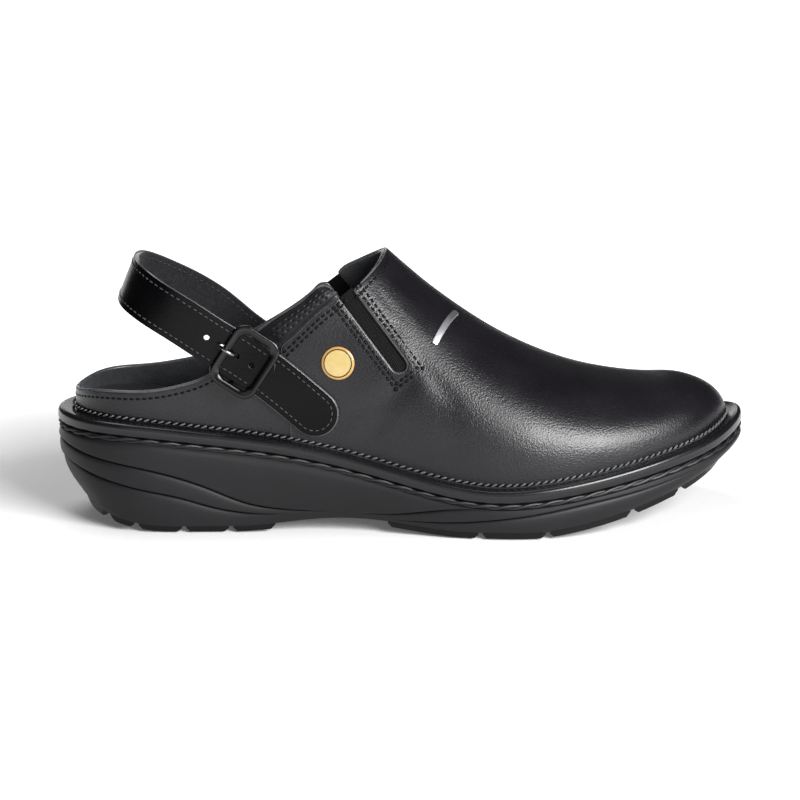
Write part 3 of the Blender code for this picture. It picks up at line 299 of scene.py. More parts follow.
def travelled(points: Array) -> Array:
    """Length along a line of points up to each of them."""
    return np.concatenate([[0.0], np.cumsum(np.linalg.norm(np.diff(points, axis=0), axis=1))])


def smooth_line(points: Sequence, count: int) -> Array:
    """Points evenly spaced along the cubic curve through some points of a plane or of space.

    Args:
        points: rows of two or three coordinates.
        count: number of points wanted.

    Returns:
        The points, from the first to the last one given.
    """
    points = np.asarray(points, float)
    lengths = travelled(points)
    at = np.linspace(0.0, lengths[-1], count)
    return np.column_stack([cubic_through(lengths, points[:, axis])(at) for axis in range(points.shape[1])])


def resampled(line: Array, pitch: float) -> Array:
    """Points of a polyline about one pitch apart, from its first to its last point.

    Args:
        line: rows of two or three coordinates.
        pitch: distance wanted.

    Returns:
        The points.
    """
    lengths = travelled(line)
    count = max(int(round(lengths[-1] / pitch)) + 1, 2)
    return columns_at(np.linspace(0.0, lengths[-1], count), lengths, line)


def turn_of(station: Array) -> Array:
    """Angle 0 to pi of a share 0 to 1 of a length, so that round ends are sampled evenly."""
    return np.arccos(np.clip(1.0 - 2.0 * np.asarray(station, float), -1.0, 1.0))


def in_view(table: Sequence) -> Array:
    """Side-view table of stations and heights, in metres."""
    return np.asarray(table, float) * (SIZE.length, SIZE.instep_height)


def unit(vectors: Array) -> Array:
    """Vectors of length one."""
    return vectors / np.maximum(np.linalg.norm(vectors, axis=-1, keepdims=True), 1e-12)


# Angles from heel tip to toe tip at which outlines are worked out
HALF_TURN = np.linspace(0.0, math.pi, 721)
LEDGE_SHARE = cubic_through(LEDGE_PROFILE[:, 0], LEDGE_PROFILE[:, 1])
OUTLINE_SHARE = {
    Side.LATERAL: cubic_through(turn_of(OUTLINE[:, 0]), OUTLINE[:, 1]),
    Side.MEDIAL: cubic_through(turn_of(OUTLINE[:, 0]), OUTLINE[:, 2]),
}


def ledge_height(x: Array) -> Array:
    """Height of the welt's top over the floor at x."""
    return LEDGE_SHARE(x / SIZE.length) * SIZE.heel_height


def floor_height(x: Array) -> Array:
    """Height of the tread's underside: flat at heel and forefoot, rising at the heel, waist and toe.

    Args:
        x: places from the heel's tip.

    Returns:
        Heights over the floor.
    """
    share = np.asarray(x, float) / SIZE.length
    heel = np.clip((HEEL_FLAT[0] - share) / HEEL_FLAT[0], 0.0, 1.0) ** 2 * SIZE.heel_rocker
    across = np.clip((share - HEEL_FLAT[1]) / (FOREFOOT_FLAT[0] - HEEL_FLAT[1]), 0.0, 1.0)
    waist = np.sin(math.pi * across) ** 2 * SIZE.waist_rise
    toe = np.clip((share - FOREFOOT_FLAT[1]) / (1.0 - FOREFOOT_FLAT[1]), 0.0, 1.0) ** 1.5 * SIZE.toe_spring
    return heel + waist + toe


def tuck_depth(x: Array) -> Array:
    """How far the sole's bottom edge lies inside its outline at x."""
    return np.interp(np.asarray(x, float) / SIZE.length, TUCK_ALONG[:, 0], TUCK_ALONG[:, 1]) * SIZE.side_tuck


def outline_side(inset: float, angles: Array, side: Side) -> Array:
    """Points (x, y) of one side of the sole's outline, moved inwards along its normal by the inset.

    Args:
        inset: distance inwards.
        angles: angles 0 to pi from heel to toe.
        side: outer or inner side.

    Returns:
        Rows of (x, y).
    """
    x = SIZE.length * (1.0 - np.cos(HALF_TURN)) / 2.0
    y = OUTLINE_SHARE[side](HALF_TURN) * SIZE.ball_width
    dx, dy = np.gradient(x, HALF_TURN, edge_order=2), np.gradient(y, HALF_TURN, edge_order=2)
    length = np.hypot(dx, dy)
    turn = 1.0 if side is Side.LATERAL else -1.0
    inner_x, inner_y = x - turn * dy / length * inset, y + turn * dx / length * inset
    return columns_at(angles, HALF_TURN, np.column_stack([inner_x, inner_y]))


def outline_ring(inset: float, stations: int) -> Array:
    """Closed ring of (x, y): heel tip, outer side, toe tip and back along the inner side.

    Args:
        inset: distance inwards.
        stations: points of one side.

    Returns:
        Rows of (x, y).
    """
    angles = np.linspace(0.0, math.pi, stations)
    outer, inner = outline_side(inset, angles, Side.LATERAL), outline_side(inset, angles, Side.MEDIAL)
    return np.vstack([outer, inner[-2:0:-1]])


class Last:
    """Shape inside the shoe, as a surface of two angles.

    turn runs 0 to pi from heel to toe, and arch 0 to pi from the outer feather over the ridge to the inner
    one. Each section is a superellipse: its width falls with a power of cos(arch) and its height grows with
    a power of sin(arch), plus a small bulge over the feather.
    """

    def __init__(self) -> None:
        """Works out the feather line and the ridge."""
        fine = np.linspace(0.0, math.pi, 361)
        feather = {side: outline_side(SIZE.welt_width, fine, side) for side in Side}
        self.start = float(feather[Side.LATERAL][0, 0])
        self.end = float(feather[Side.LATERAL][-1, 0])
        self.feather = {
            side: cubic_through(self.turn(line[::12, 0]), line[::12, 1]) for side, line in feather.items()
        }
        ridge_turn = turn_of(RIDGE[:, 0])
        self.ridge_height = cubic_through(ridge_turn, RIDGE[:, 1])
        self.ridge_side = cubic_through(ridge_turn, RIDGE[:, 2])

    def turn(self, x: Array) -> Array:
        """Angle of a place x along the last."""
        return turn_of((np.asarray(x, float) - self.start) / (self.end - self.start))

    def along(self, turn: Array) -> Array:
        """Place x of an angle along the last."""
        return self.start + (self.end - self.start) * (1.0 - np.cos(turn)) / 2.0

    def rise(self, turn: Array) -> Array:
        """Height of the ridge over the welt."""
        return self.ridge_height(turn) * SIZE.instep_height

    def fullness(self, turn: Array) -> Array:
        """Power of the width, power of the height and bulge of the sections, in the last axis."""
        return columns_at((1.0 - np.cos(turn)) / 2.0, FULLNESS[:, 0], FULLNESS[:, 1:])

    def arch(self, side: Side, turn: Array, height: Array | float, most: float = 1.0) -> Array:
        """Angle over the section at which one side is at a height over the welt.

        Args:
            side: outer or inner side.
            turn: angles along the last.
            height: heights over the welt.
            most: largest share of the ridge's height.

        Returns:
            Angles below a quarter turn on the outer side, and above it on the inner one.
        """
        power = self.fullness(turn)[..., 1]
        arch = np.arcsin(np.clip(height / self.rise(turn), 0.0, most) ** (1.0 / power))
        return arch if side is Side.LATERAL else math.pi - arch

    def point(self, turn: Array, arch: Array) -> Array:
        """Points of the last's surface.

        Args:
            turn: angles along the last.
            arch: angles over the section.

        Returns:
            Points in heel coordinates.
        """
        turn, arch = np.broadcast_arrays(np.asarray(turn, float), np.asarray(arch, float))
        x = self.along(turn)
        width_power, height_power, bulge = np.moveaxis(self.fullness(turn), -1, 0)
        ridge = self.ridge_side(turn) * SIZE.ball_width
        outer, inner = (self.feather[side](turn) for side in Side)
        foot = np.where(arch < math.pi / 2.0, outer, inner)
        across = np.abs(np.cos(arch)) ** width_power
        up = np.clip(np.sin(arch), 0.0, 1.0) ** height_power
        swell = np.sin(2.0 * np.minimum(arch, math.pi - arch)) * bulge * np.sin(turn) * SIZE.ball_width
        y = ridge + (foot - ridge) * across + np.sign(foot - ridge) * swell
        return np.stack([x, y, ledge_height(x) + SIZE.gap + self.rise(turn) * up], axis=-1)

    def normal(self, turn: Array, arch: Array) -> Array:
        """Unit normals of the surface: cross product of its two slopes, level at the heel and toe tips.

        Args:
            turn: angles along the last.
            arch: angles over the section.

        Returns:
            Outward unit vectors.
        """
        turn, arch = np.broadcast_arrays(np.asarray(turn, float), np.asarray(arch, float))
        step = 2e-3
        inside, over = np.clip(turn, step, math.pi - step), np.clip(arch, step, math.pi - step)
        along = self.point(inside + step, over) - self.point(inside - step, over)
        across = self.point(inside, over + step) - self.point(inside, over - step)
        normal = np.cross(along, across)
        normal[..., 2] = np.maximum(normal[..., 2], 0.0)
        normal = unit(normal)
        normal[turn < step] = (-1.0, 0.0, 0.0)
        normal[turn > math.pi - step] = (1.0, 0.0, 0.0)
        return normal

    def skin(self, spots: Array, offset: Array) -> Array:
        """Points at an offset outside the last, with the feather edge kept on the sloping welt.

        Args:
            spots: rows of (turn, arch).
            offset: distance outwards, one value or one per row.

        Returns:
            Points in heel coordinates.
        """
        turn, arch = spots[..., 0], spots[..., 1]
        start = self.point(turn, arch)
        offset = np.broadcast_to(np.asarray(offset, float), turn.shape)
        moved = start + self.normal(turn, arch) * offset[..., None]
        slope = ledge_height(moved[..., 0]) - ledge_height(start[..., 0])
        moved[..., 2] += slope * np.where(turn > math.pi - 1e-6, 1.0, np.cos(arch) ** 2)
        return moved

    def spots(self, side: Side, flat: Array, offset: float) -> Array:
        """Rows of (turn, arch) whose skin at the offset shows at the side-view points flat, by iteration.

        Args:
            side: outer or inner side.
            flat: x and z seen from that side.
            offset: height of the skin over the last.

        Returns:
            Rows of (turn, arch).
        """
        guess = np.array(flat, float)
        for _ in range(8):
            turn = self.turn(guess[..., 0])
            height = guess[..., 1] - ledge_height(guess[..., 0]) - SIZE.gap
            found = np.stack([turn, self.arch(side, turn, height, most=0.9999)], axis=-1)
            guess = guess + flat - self.skin(found, offset)[..., (0, 2)]
        return found

    def level_ring(self, height: float, offset: float, steps: int) -> Array:
        """Closed ring of (turn, arch) at a height over the welt, round the heel and the toe.

        Args:
            height: height over the welt.
            offset: height of the skin over the last.
            steps: fineness of one side.

        Returns:
            Rows of (turn, arch), evenly spaced.
        """
        turn = np.linspace(0.0, math.pi, 4 * steps)
        turn = np.linspace(0.0, float(turn[self.rise(turn) > height * 1.02].max()), steps)
        outer, inner = (np.column_stack([turn, self.arch(side, turn, height)]) for side in Side)
        ring = np.vstack([outer, inner[::-1]])
        lengths = travelled(self.skin(ring, offset))
        return columns_at(np.linspace(0.0, lengths[-1], 4 * steps), lengths, ring)


LAST = Last()


def line_height(line: Array) -> Callable[[Array], Array]:
    """Height over x of a side-view line that runs forwards."""
    fine = smooth_line(in_view(line), 240)
    return lambda x: np.interp(x, fine[:, 0], fine[:, 1])


# Height of the collar's line, height of the vamp's line and x of the notch between them
TOP_EDGE = {
    side: (
        line_height(COLLAR_LINE[side]), line_height(VAMP_TOP_LINE[side]),
        COLLAR_LINE[side][-1, 0] * SIZE.length,
    )
    for side in Side
}


def top_edge(side: Side, x: Array) -> Array:
    """Height of the upper's top edge at x, seen from one side."""
    collar, vamp, notch = TOP_EDGE[side]
    return np.where(x < notch, collar(x), vamp(x))


def gore_axes(side: Side) -> tuple[Array, Array, Array, float]:
    """Mouth, direction to the round end, direction across and length of a gore slot, in side view.

    Args:
        side: outer or inner side.

    Returns:
        The four in that order.
    """
    mouth, end = (in_view(point) for point in GORE_LINE[side])
    length = float(np.linalg.norm(end - mouth))
    along = (end - mouth) / length
    return mouth, along, np.array([-along[1], along[0]]), length


def mixed(spots: Array, lateral: Array, medial: Array) -> Array:
    """Outer side's value passing smoothly to the inner side's across the ridge."""
    share = np.clip((spots[..., 1] / math.pi - 0.42) / 0.16, 0.0, 1.0)
    return lateral * (1.0 - share) + medial * share


# Meshes


def in_frame(points: Array) -> Array:
    """Points moved from heel coordinates to the frame, whose origin is under the sole's middle."""
    return points - (SIZE.length / 2.0, 0.0, 0.0)


def mesh_piece(
    name: str, points: Array, faces: Sequence, finishes: Sequence, which: Array | None = None,
    sharp_deg: float = 45.0, centred: bool = False,
) -> bpy.types.Object:
    """Makes a piece from points in heel coordinates.

    Args:
        name: the piece's name.
        points: n rows of x, y, z.
        faces: rows of vertex numbers.
        finishes: its materials.
        which: material number of each face.
        sharp_deg: faces that meet at more than this angle stay crisp.
        centred: the points are in the frame already.

    Returns:
        The new object.
    """
    mesh = bpy.data.meshes.new(name)
    places = points if centred else in_frame(points)
    mesh.from_pydata(places.tolist(), [], [list(map(int, face)) for face in faces])
    mesh.validate()
    for finish in finishes:
        mesh.materials.append(finish)
    if which is not None:
        mesh.polygons.foreach_set("material_index", np.asarray(which, np.int32))
    mesh.shade_smooth()
    mesh.set_sharp_from_angle(angle=math.radians(sharp_deg))
    mesh.update()
    made = bpy.data.objects.new(name, mesh)
    bpy.context.scene.collection.objects.link(made)
    return made


def grid_quads(rows: int, columns: int, wrap: bool = False, first: int = 0) -> Array:
    """Quads of a grid of points numbered row by row from first; wrap joins the last column to the first.

    Args:
        rows: rows of points.
        columns: points of a row.
        wrap: whether the last column meets the first.
        first: number of the first point.

    Returns:
        Rows of four point numbers.
    """
    row, column = np.meshgrid(np.arange(rows - 1), np.arange(columns if wrap else columns - 1), indexing="ij")
    near, far = column.ravel(), (column.ravel() + 1) % columns
    start, after = row.ravel() * columns + first, (row.ravel() + 1) * columns + first
    return np.column_stack([start + near, start + far, after + far, after + near])


def ladder_ends(rows: int, count: int, turn: int) -> list:
    """Strips from side to side that close the first and the last of some outline rings.

    Args:
        rows: number of rings.
        count: points of a ring.
        turn: 1 keeps the first ring's order, -1 turns it round.

    Returns:
        Faces as tuples of point numbers.
    """
    faces = []
    for first, order in ((0, turn), ((rows - 1) * count, -turn)):
        for step in range(count // 2):
            corners = dict.fromkeys([step, step + 1, count - step - 1, (count - step) % count])
            faces.append(tuple(first + corner for corner in list(corners)[::order]))
    return faces


def slab(over: Array, under: Array, flip: bool = False) -> tuple[Array, list]:
    """Points and faces of a slab between two grids of points; flip turns its faces round.

    Args:
        over: grid of points of the upper face.
        under: grid of the lower face.
        flip: whether the faces turn round.

    Returns:
        Points and faces.
    """
    rings = np.concatenate([over, under[:, ::-1]], axis=1)
    rows, count = rings.shape[:2]
    quads = grid_quads(rows, count, wrap=True)
    faces = [tuple(face) for face in (quads[:, ::-1] if flip else quads)]
    for step in range(count // 2 - 1):
        quad = (step, step + 1, count - 2 - step, count - 1 - step)
        first, last = (quad, quad[::-1]) if flip else (quad[::-1], quad)
        faces += [first, tuple((rows - 1) * count + corner for corner in last)]
    return rings.reshape(-1, 3), faces


def ring_stack(points: Array, closed: bool) -> tuple[Array, list]:
    """Points and faces of a stack of rings; closed joins the last ring to the first, else both get a lid.

    Args:
        points: rings, corners and coordinates.
        closed: whether it is a closed tube.

    Returns:
        Points and faces.
    """
    rows, columns = points.shape[:2]
    faces = [tuple(face) for face in grid_quads(rows, columns, wrap=True)]
    last = (rows - 1) * columns
    if closed:
        faces += [(last + k, last + (k + 1) % columns, (k + 1) % columns, k) for k in range(columns)]
    else:
        faces += [tuple(range(columns))[::-1], tuple(range(last, last + columns))]
    return points.reshape(-1, 3), faces


def tube(path: Array, radius: Array | float, sides: int, up: Array | None = None) -> tuple[Array, list]:
    """Points and faces of a closed tube along a path: a circle carried along it, with a point at each end.

    Args:
        path: n rows of x, y, z.
        radius: one radius or one per row.
        sides: corners of the circle.
        up: direction across which the circle starts.

    Returns:
        Points and faces.
    """
    along = unit(np.gradient(path, axis=0))
    lean = np.broadcast_to(np.array([0.0, 0.0, 1.0]) if up is None else up, path.shape)
    side = unit(np.cross(along, lean))
    over = np.cross(side, along)
    angle = np.linspace(0.0, 2.0 * math.pi, sides, endpoint=False)
    size = np.broadcast_to(np.asarray(radius, float), len(path))[:, None, None]
    ring = np.cos(angle)[None, :, None] * side[:, None] + np.sin(angle)[None, :, None] * over[:, None]
    points = (path[:, None] + ring * size).reshape(-1, 3)
    count = len(points)
    faces = [tuple(quad) for quad in grid_quads(len(path), sides, wrap=True)]
    for ring_start, tip, turn in ((0, path[0], 1), (count - sides, path[-1], -1)):
        points = np.vstack([points, tip])
        corner = len(points) - 1
        for step in range(sides):
            pair = (ring_start + (step + 1) % sides, ring_start + step)
            faces.append((*pair[::turn], corner))
    return points, faces


def edges_of(faces: Array) -> Array:
    """The three edges of every triangle, in the order of its corners."""
    return np.vstack([faces[:, pair] for pair in ([0, 1], [1, 2], [2, 0])])


def joined(parts: Sequence[tuple]) -> tuple[Array, list]:
    """Several (points, faces) as one.

    Args:
        parts: points and faces of each part.

    Returns:
        All points and all faces.
    """
    points, faces, base = [], [], 0
    for some_points, some_faces in parts:
        points.append(some_points)
        faces += [tuple(index + base for index in face) for face in some_faces]
        base += len(some_points)
    return np.vstack(points), faces


@dataclass
class Sheet:
    """Flat triangles in two parameters, cut to shape before they are laid on a surface."""

    # A corner nearer to a cut than this share of the edge is moved onto it
    SNAP = 0.3

    spots: Array
    faces: Array

    @classmethod
    def grid(cls, first: Array, second: Array) -> Sheet:
        """Grid over two lists of parameter values.

        Args:
            first: values of the first parameter.
            second: values of the second one.

        Returns:
            The sheet.
        """
        u, v = np.meshgrid(first, second, indexing="ij")
        a, b, c, d = grid_quads(len(first), len(second)).T
        faces = np.vstack([np.column_stack([a, c, b]), np.column_stack([a, d, c])])
        return cls(np.column_stack([u.ravel(), v.ravel()]), faces)

    def cut(self, keep: Callable[[Array], Array]) -> Sheet:
        """Cuts the sheet along the line where keep is zero and keeps the side where it is positive.

        A corner close to the line is moved onto it, and the other edges that cross it get a new corner there.

        Args:
            keep: gives one number for each row of spots.

        Returns:
            The sheet that is left.
        """
        spots = self.spots.copy()
        value = keep(spots)
        edges = np.unique(np.sort(edges_of(self.faces), axis=1), axis=0)
        crossing = edges[value[edges[:, 0]] * value[edges[:, 1]] < 0.0]
        share, place = self._crossings(spots, value, crossing, keep)
        for column, close in ((0, share < self.SNAP), (1, share > 1.0 - self.SNAP)):
            spots[crossing[close, column]] = place[close]
            value[crossing[close, column]] = 0.0
        crossing = crossing[value[crossing[:, 0]] * value[crossing[:, 1]] < 0.0]
        _, place = self._crossings(spots, value, crossing, keep)
        count = len(spots)
        keys = crossing[:, 0] * count + crossing[:, 1]
        order = np.argsort(keys)
        keys, place = keys[order], place[order]

        def middle(one: Array, other: Array) -> Array:
            """Number of the new corner between two old ones."""
            return count + np.searchsorted(keys, np.minimum(one, other) * count + np.maximum(one, other))

        sign = np.sign(value)[self.faces]
        kept = [self.faces[(sign >= 0.0).all(axis=1) & (sign > 0.0).any(axis=1)]]
        split = (sign > 0.0).any(axis=1) & (sign < 0.0).any(axis=1)
        for turn in range(3):
            a, b, c = np.roll(self.faces[split], -turn, axis=1).T
            at_a, at_b, at_c = np.roll(sign[split], -turn, axis=1).T
            one = (at_a > 0) & (at_b < 0) & (at_c < 0)
            kept.append(np.column_stack([a[one], middle(a[one], b[one]), middle(a[one], c[one])]))
            two = (at_a > 0) & (at_b > 0) & (at_c < 0)
            kept.append(np.column_stack([a[two], b[two], middle(b[two], c[two])]))
            kept.append(np.column_stack([a[two], middle(b[two], c[two]), middle(a[two], c[two])]))
            half = (at_a > 0) & (at_b < 0) & (at_c == 0)
            kept.append(np.column_stack([a[half], middle(a[half], b[half]), c[half]]))
            half = (at_a > 0) & (at_b == 0) & (at_c < 0)
            kept.append(np.column_stack([a[half], b[half], middle(a[half], c[half])]))
        faces = np.vstack(kept)
        used, faces = np.unique(faces, return_inverse=True)
        return Sheet(np.vstack([spots, place])[used], faces.reshape(-1, 3))

    @staticmethod
    def _crossings(
        spots: Array, value: Array, edges: Array, keep: Callable[[Array], Array]
    ) -> tuple[Array, Array]:
        """Share along each edge, and place, where keep is zero, by four false-position steps.

        Args:
            spots: all corners.
            value: keep's number at each.
            edges: corner pairs.
            keep: the cutting function.

        Returns:
            The shares and the places.
        """
        low, high = spots[edges[:, 0]], spots[edges[:, 1]]
        at_low, at_high = value[edges[:, 0]], value[edges[:, 1]]
        share_low, share_high = np.zeros(len(edges)), np.ones(len(edges))
        share = np.zeros(len(edges))
        for _ in range(4):
            share = share_low + (share_high - share_low) * at_low / (at_low - at_high)
            now = keep(low + (high - low) * share[:, None]) if len(edges) else share
            same = now * at_low > 0.0
            share_low, at_low = np.where(same, share, share_low), np.where(same, now, at_low)
            share_high, at_high = np.where(same, share_high, share), np.where(same, at_high, now)
            at_low = np.where(at_low == at_high, at_low + 1e-12, at_low)
        return share, low + (high - low) * share[:, None]

    def solid(
        self, name: str, place: Callable[[Array, Array], Array], inner: Array | float, outer: Array | float,
        finishes: Sequence, bulge: float = 0.5, rim_steps: int = 4,
    ) -> bpy.types.Object:
        """Lays the sheet on a surface as a wall with round edges.

        Args:
            name: the piece's name.
            place: gives points for parameter rows and offsets.
            inner: offset of the wall's inner face, one or one per row of spots.
            outer: offset of its outer face.
            finishes: material of the outer face, of the inner face and of the rim; missing ones repeat.
            bulge: how far the rim stands out, as a share of the wall's thickness.
            rim_steps: rows of the round rim.

        Returns:
            The new object.
        """
        high, low = place(self.spots, outer), place(self.spots, inner)
        # Rows that share one place, as at the tips, become one corner, and faces without area go
        both = np.round(np.hstack([high, low]), 7)
        _, first, number = np.unique(both, axis=0, return_index=True, return_inverse=True)
        high, low, faces = high[first], low[first], number.reshape(-1)[self.faces]
        faces = faces[(faces != np.roll(faces, -1, axis=1)).all(axis=1)]
        count = len(high)
        directed = edges_of(faces)
        keys = np.sort(directed, axis=1)
        _, where, times = np.unique(keys, axis=0, return_index=True, return_counts=True)
        rim = directed[where[times == 1]]
        flow = unit(high[rim[:, 1]] - high[rim[:, 0]])
        normal = unit(high - low)
        away = np.zeros((count, 3))
        np.add.at(away, rim[:, 0], np.cross(flow, normal[rim[:, 0]]))
        np.add.at(away, rim[:, 1], np.cross(flow, normal[rim[:, 1]]))
        edge = np.unique(rim)
        slot = np.full(count, -1)
        slot[edge] = np.arange(len(edge))
        away = unit(away[edge])
        middle, half = (high[edge] + low[edge]) / 2.0, (high[edge] - low[edge]) / 2.0
        reach = np.linalg.norm(half, axis=1, keepdims=True) * 2.0 * bulge
        angles = np.linspace(0.0, math.pi, rim_steps + 2)[1:-1]
        rows = [middle + half * math.cos(angle) + away * reach * math.sin(angle) for angle in angles]
        points = np.vstack([high, low, *rows])
        between = 2 * count + np.arange(rim_steps * len(edge)).reshape(rim_steps, -1)
        numbers = [edge, *between, count + edge]
        quads = []
        for upper, lower in zip(numbers[:-1], numbers[1:]):
            a, b = slot[rim[:, 0]], slot[rim[:, 1]]
            quads.append(np.column_stack([upper[b], upper[a], lower[a], lower[b]]))
        quads = np.vstack(quads)
        all_faces = faces.tolist() + (faces[:, ::-1] + count).tolist() + quads.tolist()
        last = len(finishes) - 1
        which = np.concatenate([
            np.zeros(len(faces)), np.full(len(faces), min(1, last)), np.full(len(quads), min(2, last)),
        ])
        return mesh_piece(name, points, all_faces, finishes, which, sharp_deg=60.0)


# Finishes


def linear(hex_code: str) -> tuple[float, float, float, float]:
    """sRGB hex colour as linear red, green, blue and alpha."""
    parts = [int(hex_code[start:start + 2], 16) / 255.0 for start in (1, 3, 5)]
    return (*[part / 12.92 if part <= 0.04045 else ((part + 0.055) / 1.055) ** 2.4 for part in parts], 1.0)


def add_node(tree: bpy.types.NodeTree, kind: str, links: dict | None = None, **settings) -> bpy.types.Node:
    """Adds a node with its settings and its inputs.

    Args:
        tree: the material's tree.
        kind: Blender's name of the node, without ShaderNode in front.
        links: input name or number to a socket or to a plain value.
        **settings: attributes of the node.

    Returns:
        The new node.
    """
    node = tree.nodes.new(f"ShaderNode{kind}")
    for key, value in settings.items():
        setattr(node, key, value)
    for key, value in (links or {}).items():
        if isinstance(value, bpy.types.NodeSocket):
            tree.links.new(value, node.inputs[key])
        else:
            node.inputs[key].default_value = value
    return node


@dataclass(frozen=True)
class Finish:
    """One surface: its colours, gloss and the real size of its grain.

    Attributes:
        name: what the material is and how it was made.
        dark: colour of its low places.
        light: colour of its high places.
        roughness: mean roughness.
        rough_spread: how much the roughness wanders.
        grain_mm: size of the grain's cells.
        grain_depth: bump distance of the grain in millimetres.
        pebbled: cells like leather rather than plain noise.
        metallic: 1 for bare metal.
        coat: clear coat weight.
        sheen: soft nap weight.
        tone_mm: size of the large, soft changes of tone.
        specular: strength of the mirror part, 0.5 for plain plastic or leather.
    """

    name: str
    dark: str
    light: str
    roughness: float
    rough_spread: float = 0.06
    grain_mm: float = 0.8
    grain_depth: float = 0.03
    pebbled: bool = False
    metallic: float = 0.0
    coat: float = 0.0
    sheen: float = 0.0
    tone_mm: float = 25.0
    specular: float = 0.5

    def material(self) -> bpy.types.Material:
        """Node material on Object coordinates, in which one unit is a metre.

        Returns:
            The material.
        """
        made = bpy.data.materials.new(self.name)
        made.use_nodes = True
        tree = made.node_tree
        shader = tree.nodes["Principled BSDF"]
        where = add_node(tree, "TexCoord").outputs["Object"]
        tone = add_node(
            tree, "TexNoise", {"Vector": where, "Scale": 1.0 / (self.tone_mm * MM), "Detail": 4.0}
        ).outputs["Fac"]
        fine = add_node(
            tree, "TexNoise", {"Vector": where, "Scale": 1.0 / (self.grain_mm * MM), "Detail": 3.0}
        ).outputs["Fac"]
        height = fine
        if self.pebbled:
            cells = add_node(
                tree, "TexVoronoi", {"Vector": where, "Scale": 1.0 / (self.grain_mm * MM)},
                feature="SMOOTH_F1",
            ).outputs["Distance"]
            height = add_node(
                tree, "Math", {0: cells, 1: 0.6, 2: fine}, operation="MULTIPLY_ADD"
            ).outputs[0]
        blend = add_node(
            tree, "Math", {0: tone, 1: 0.7, 2: fine}, operation="MULTIPLY_ADD"
        ).outputs[0]
        spread = add_node(
            tree, "MapRange", {"Value": blend, "From Min": 0.5, "From Max": 1.2}
        ).outputs[0]
        colour = add_node(tree, "Mix", {"Factor": spread}, data_type="RGBA")
        colour.inputs[6].default_value = linear(self.dark)
        colour.inputs[7].default_value = linear(self.light)
        tree.links.new(colour.outputs[2], shader.inputs["Base Color"])
        rough = add_node(tree, "MapRange", {
            "Value": tone, "From Min": 0.3, "From Max": 0.7,
            "To Min": max(self.roughness - self.rough_spread, 0.02),
            "To Max": self.roughness + self.rough_spread,
        }).outputs[0]
        tree.links.new(rough, shader.inputs["Roughness"])
        bump = add_node(
            tree, "Bump", {"Height": height, "Strength": 1.0, "Distance": self.grain_depth * MM}
        )
        tree.links.new(bump.outputs[0], shader.inputs["Normal"])
        for socket, value in (
            ("Metallic", self.metallic), ("Specular IOR Level", self.specular), ("Coat Weight", self.coat),
            ("Coat Roughness", 0.12), ("Sheen Weight", self.sheen), ("Sheen Roughness", 0.5),
        ):
            shader.inputs[socket].default_value = value
        made.diffuse_color = linear(self.light)
        return made


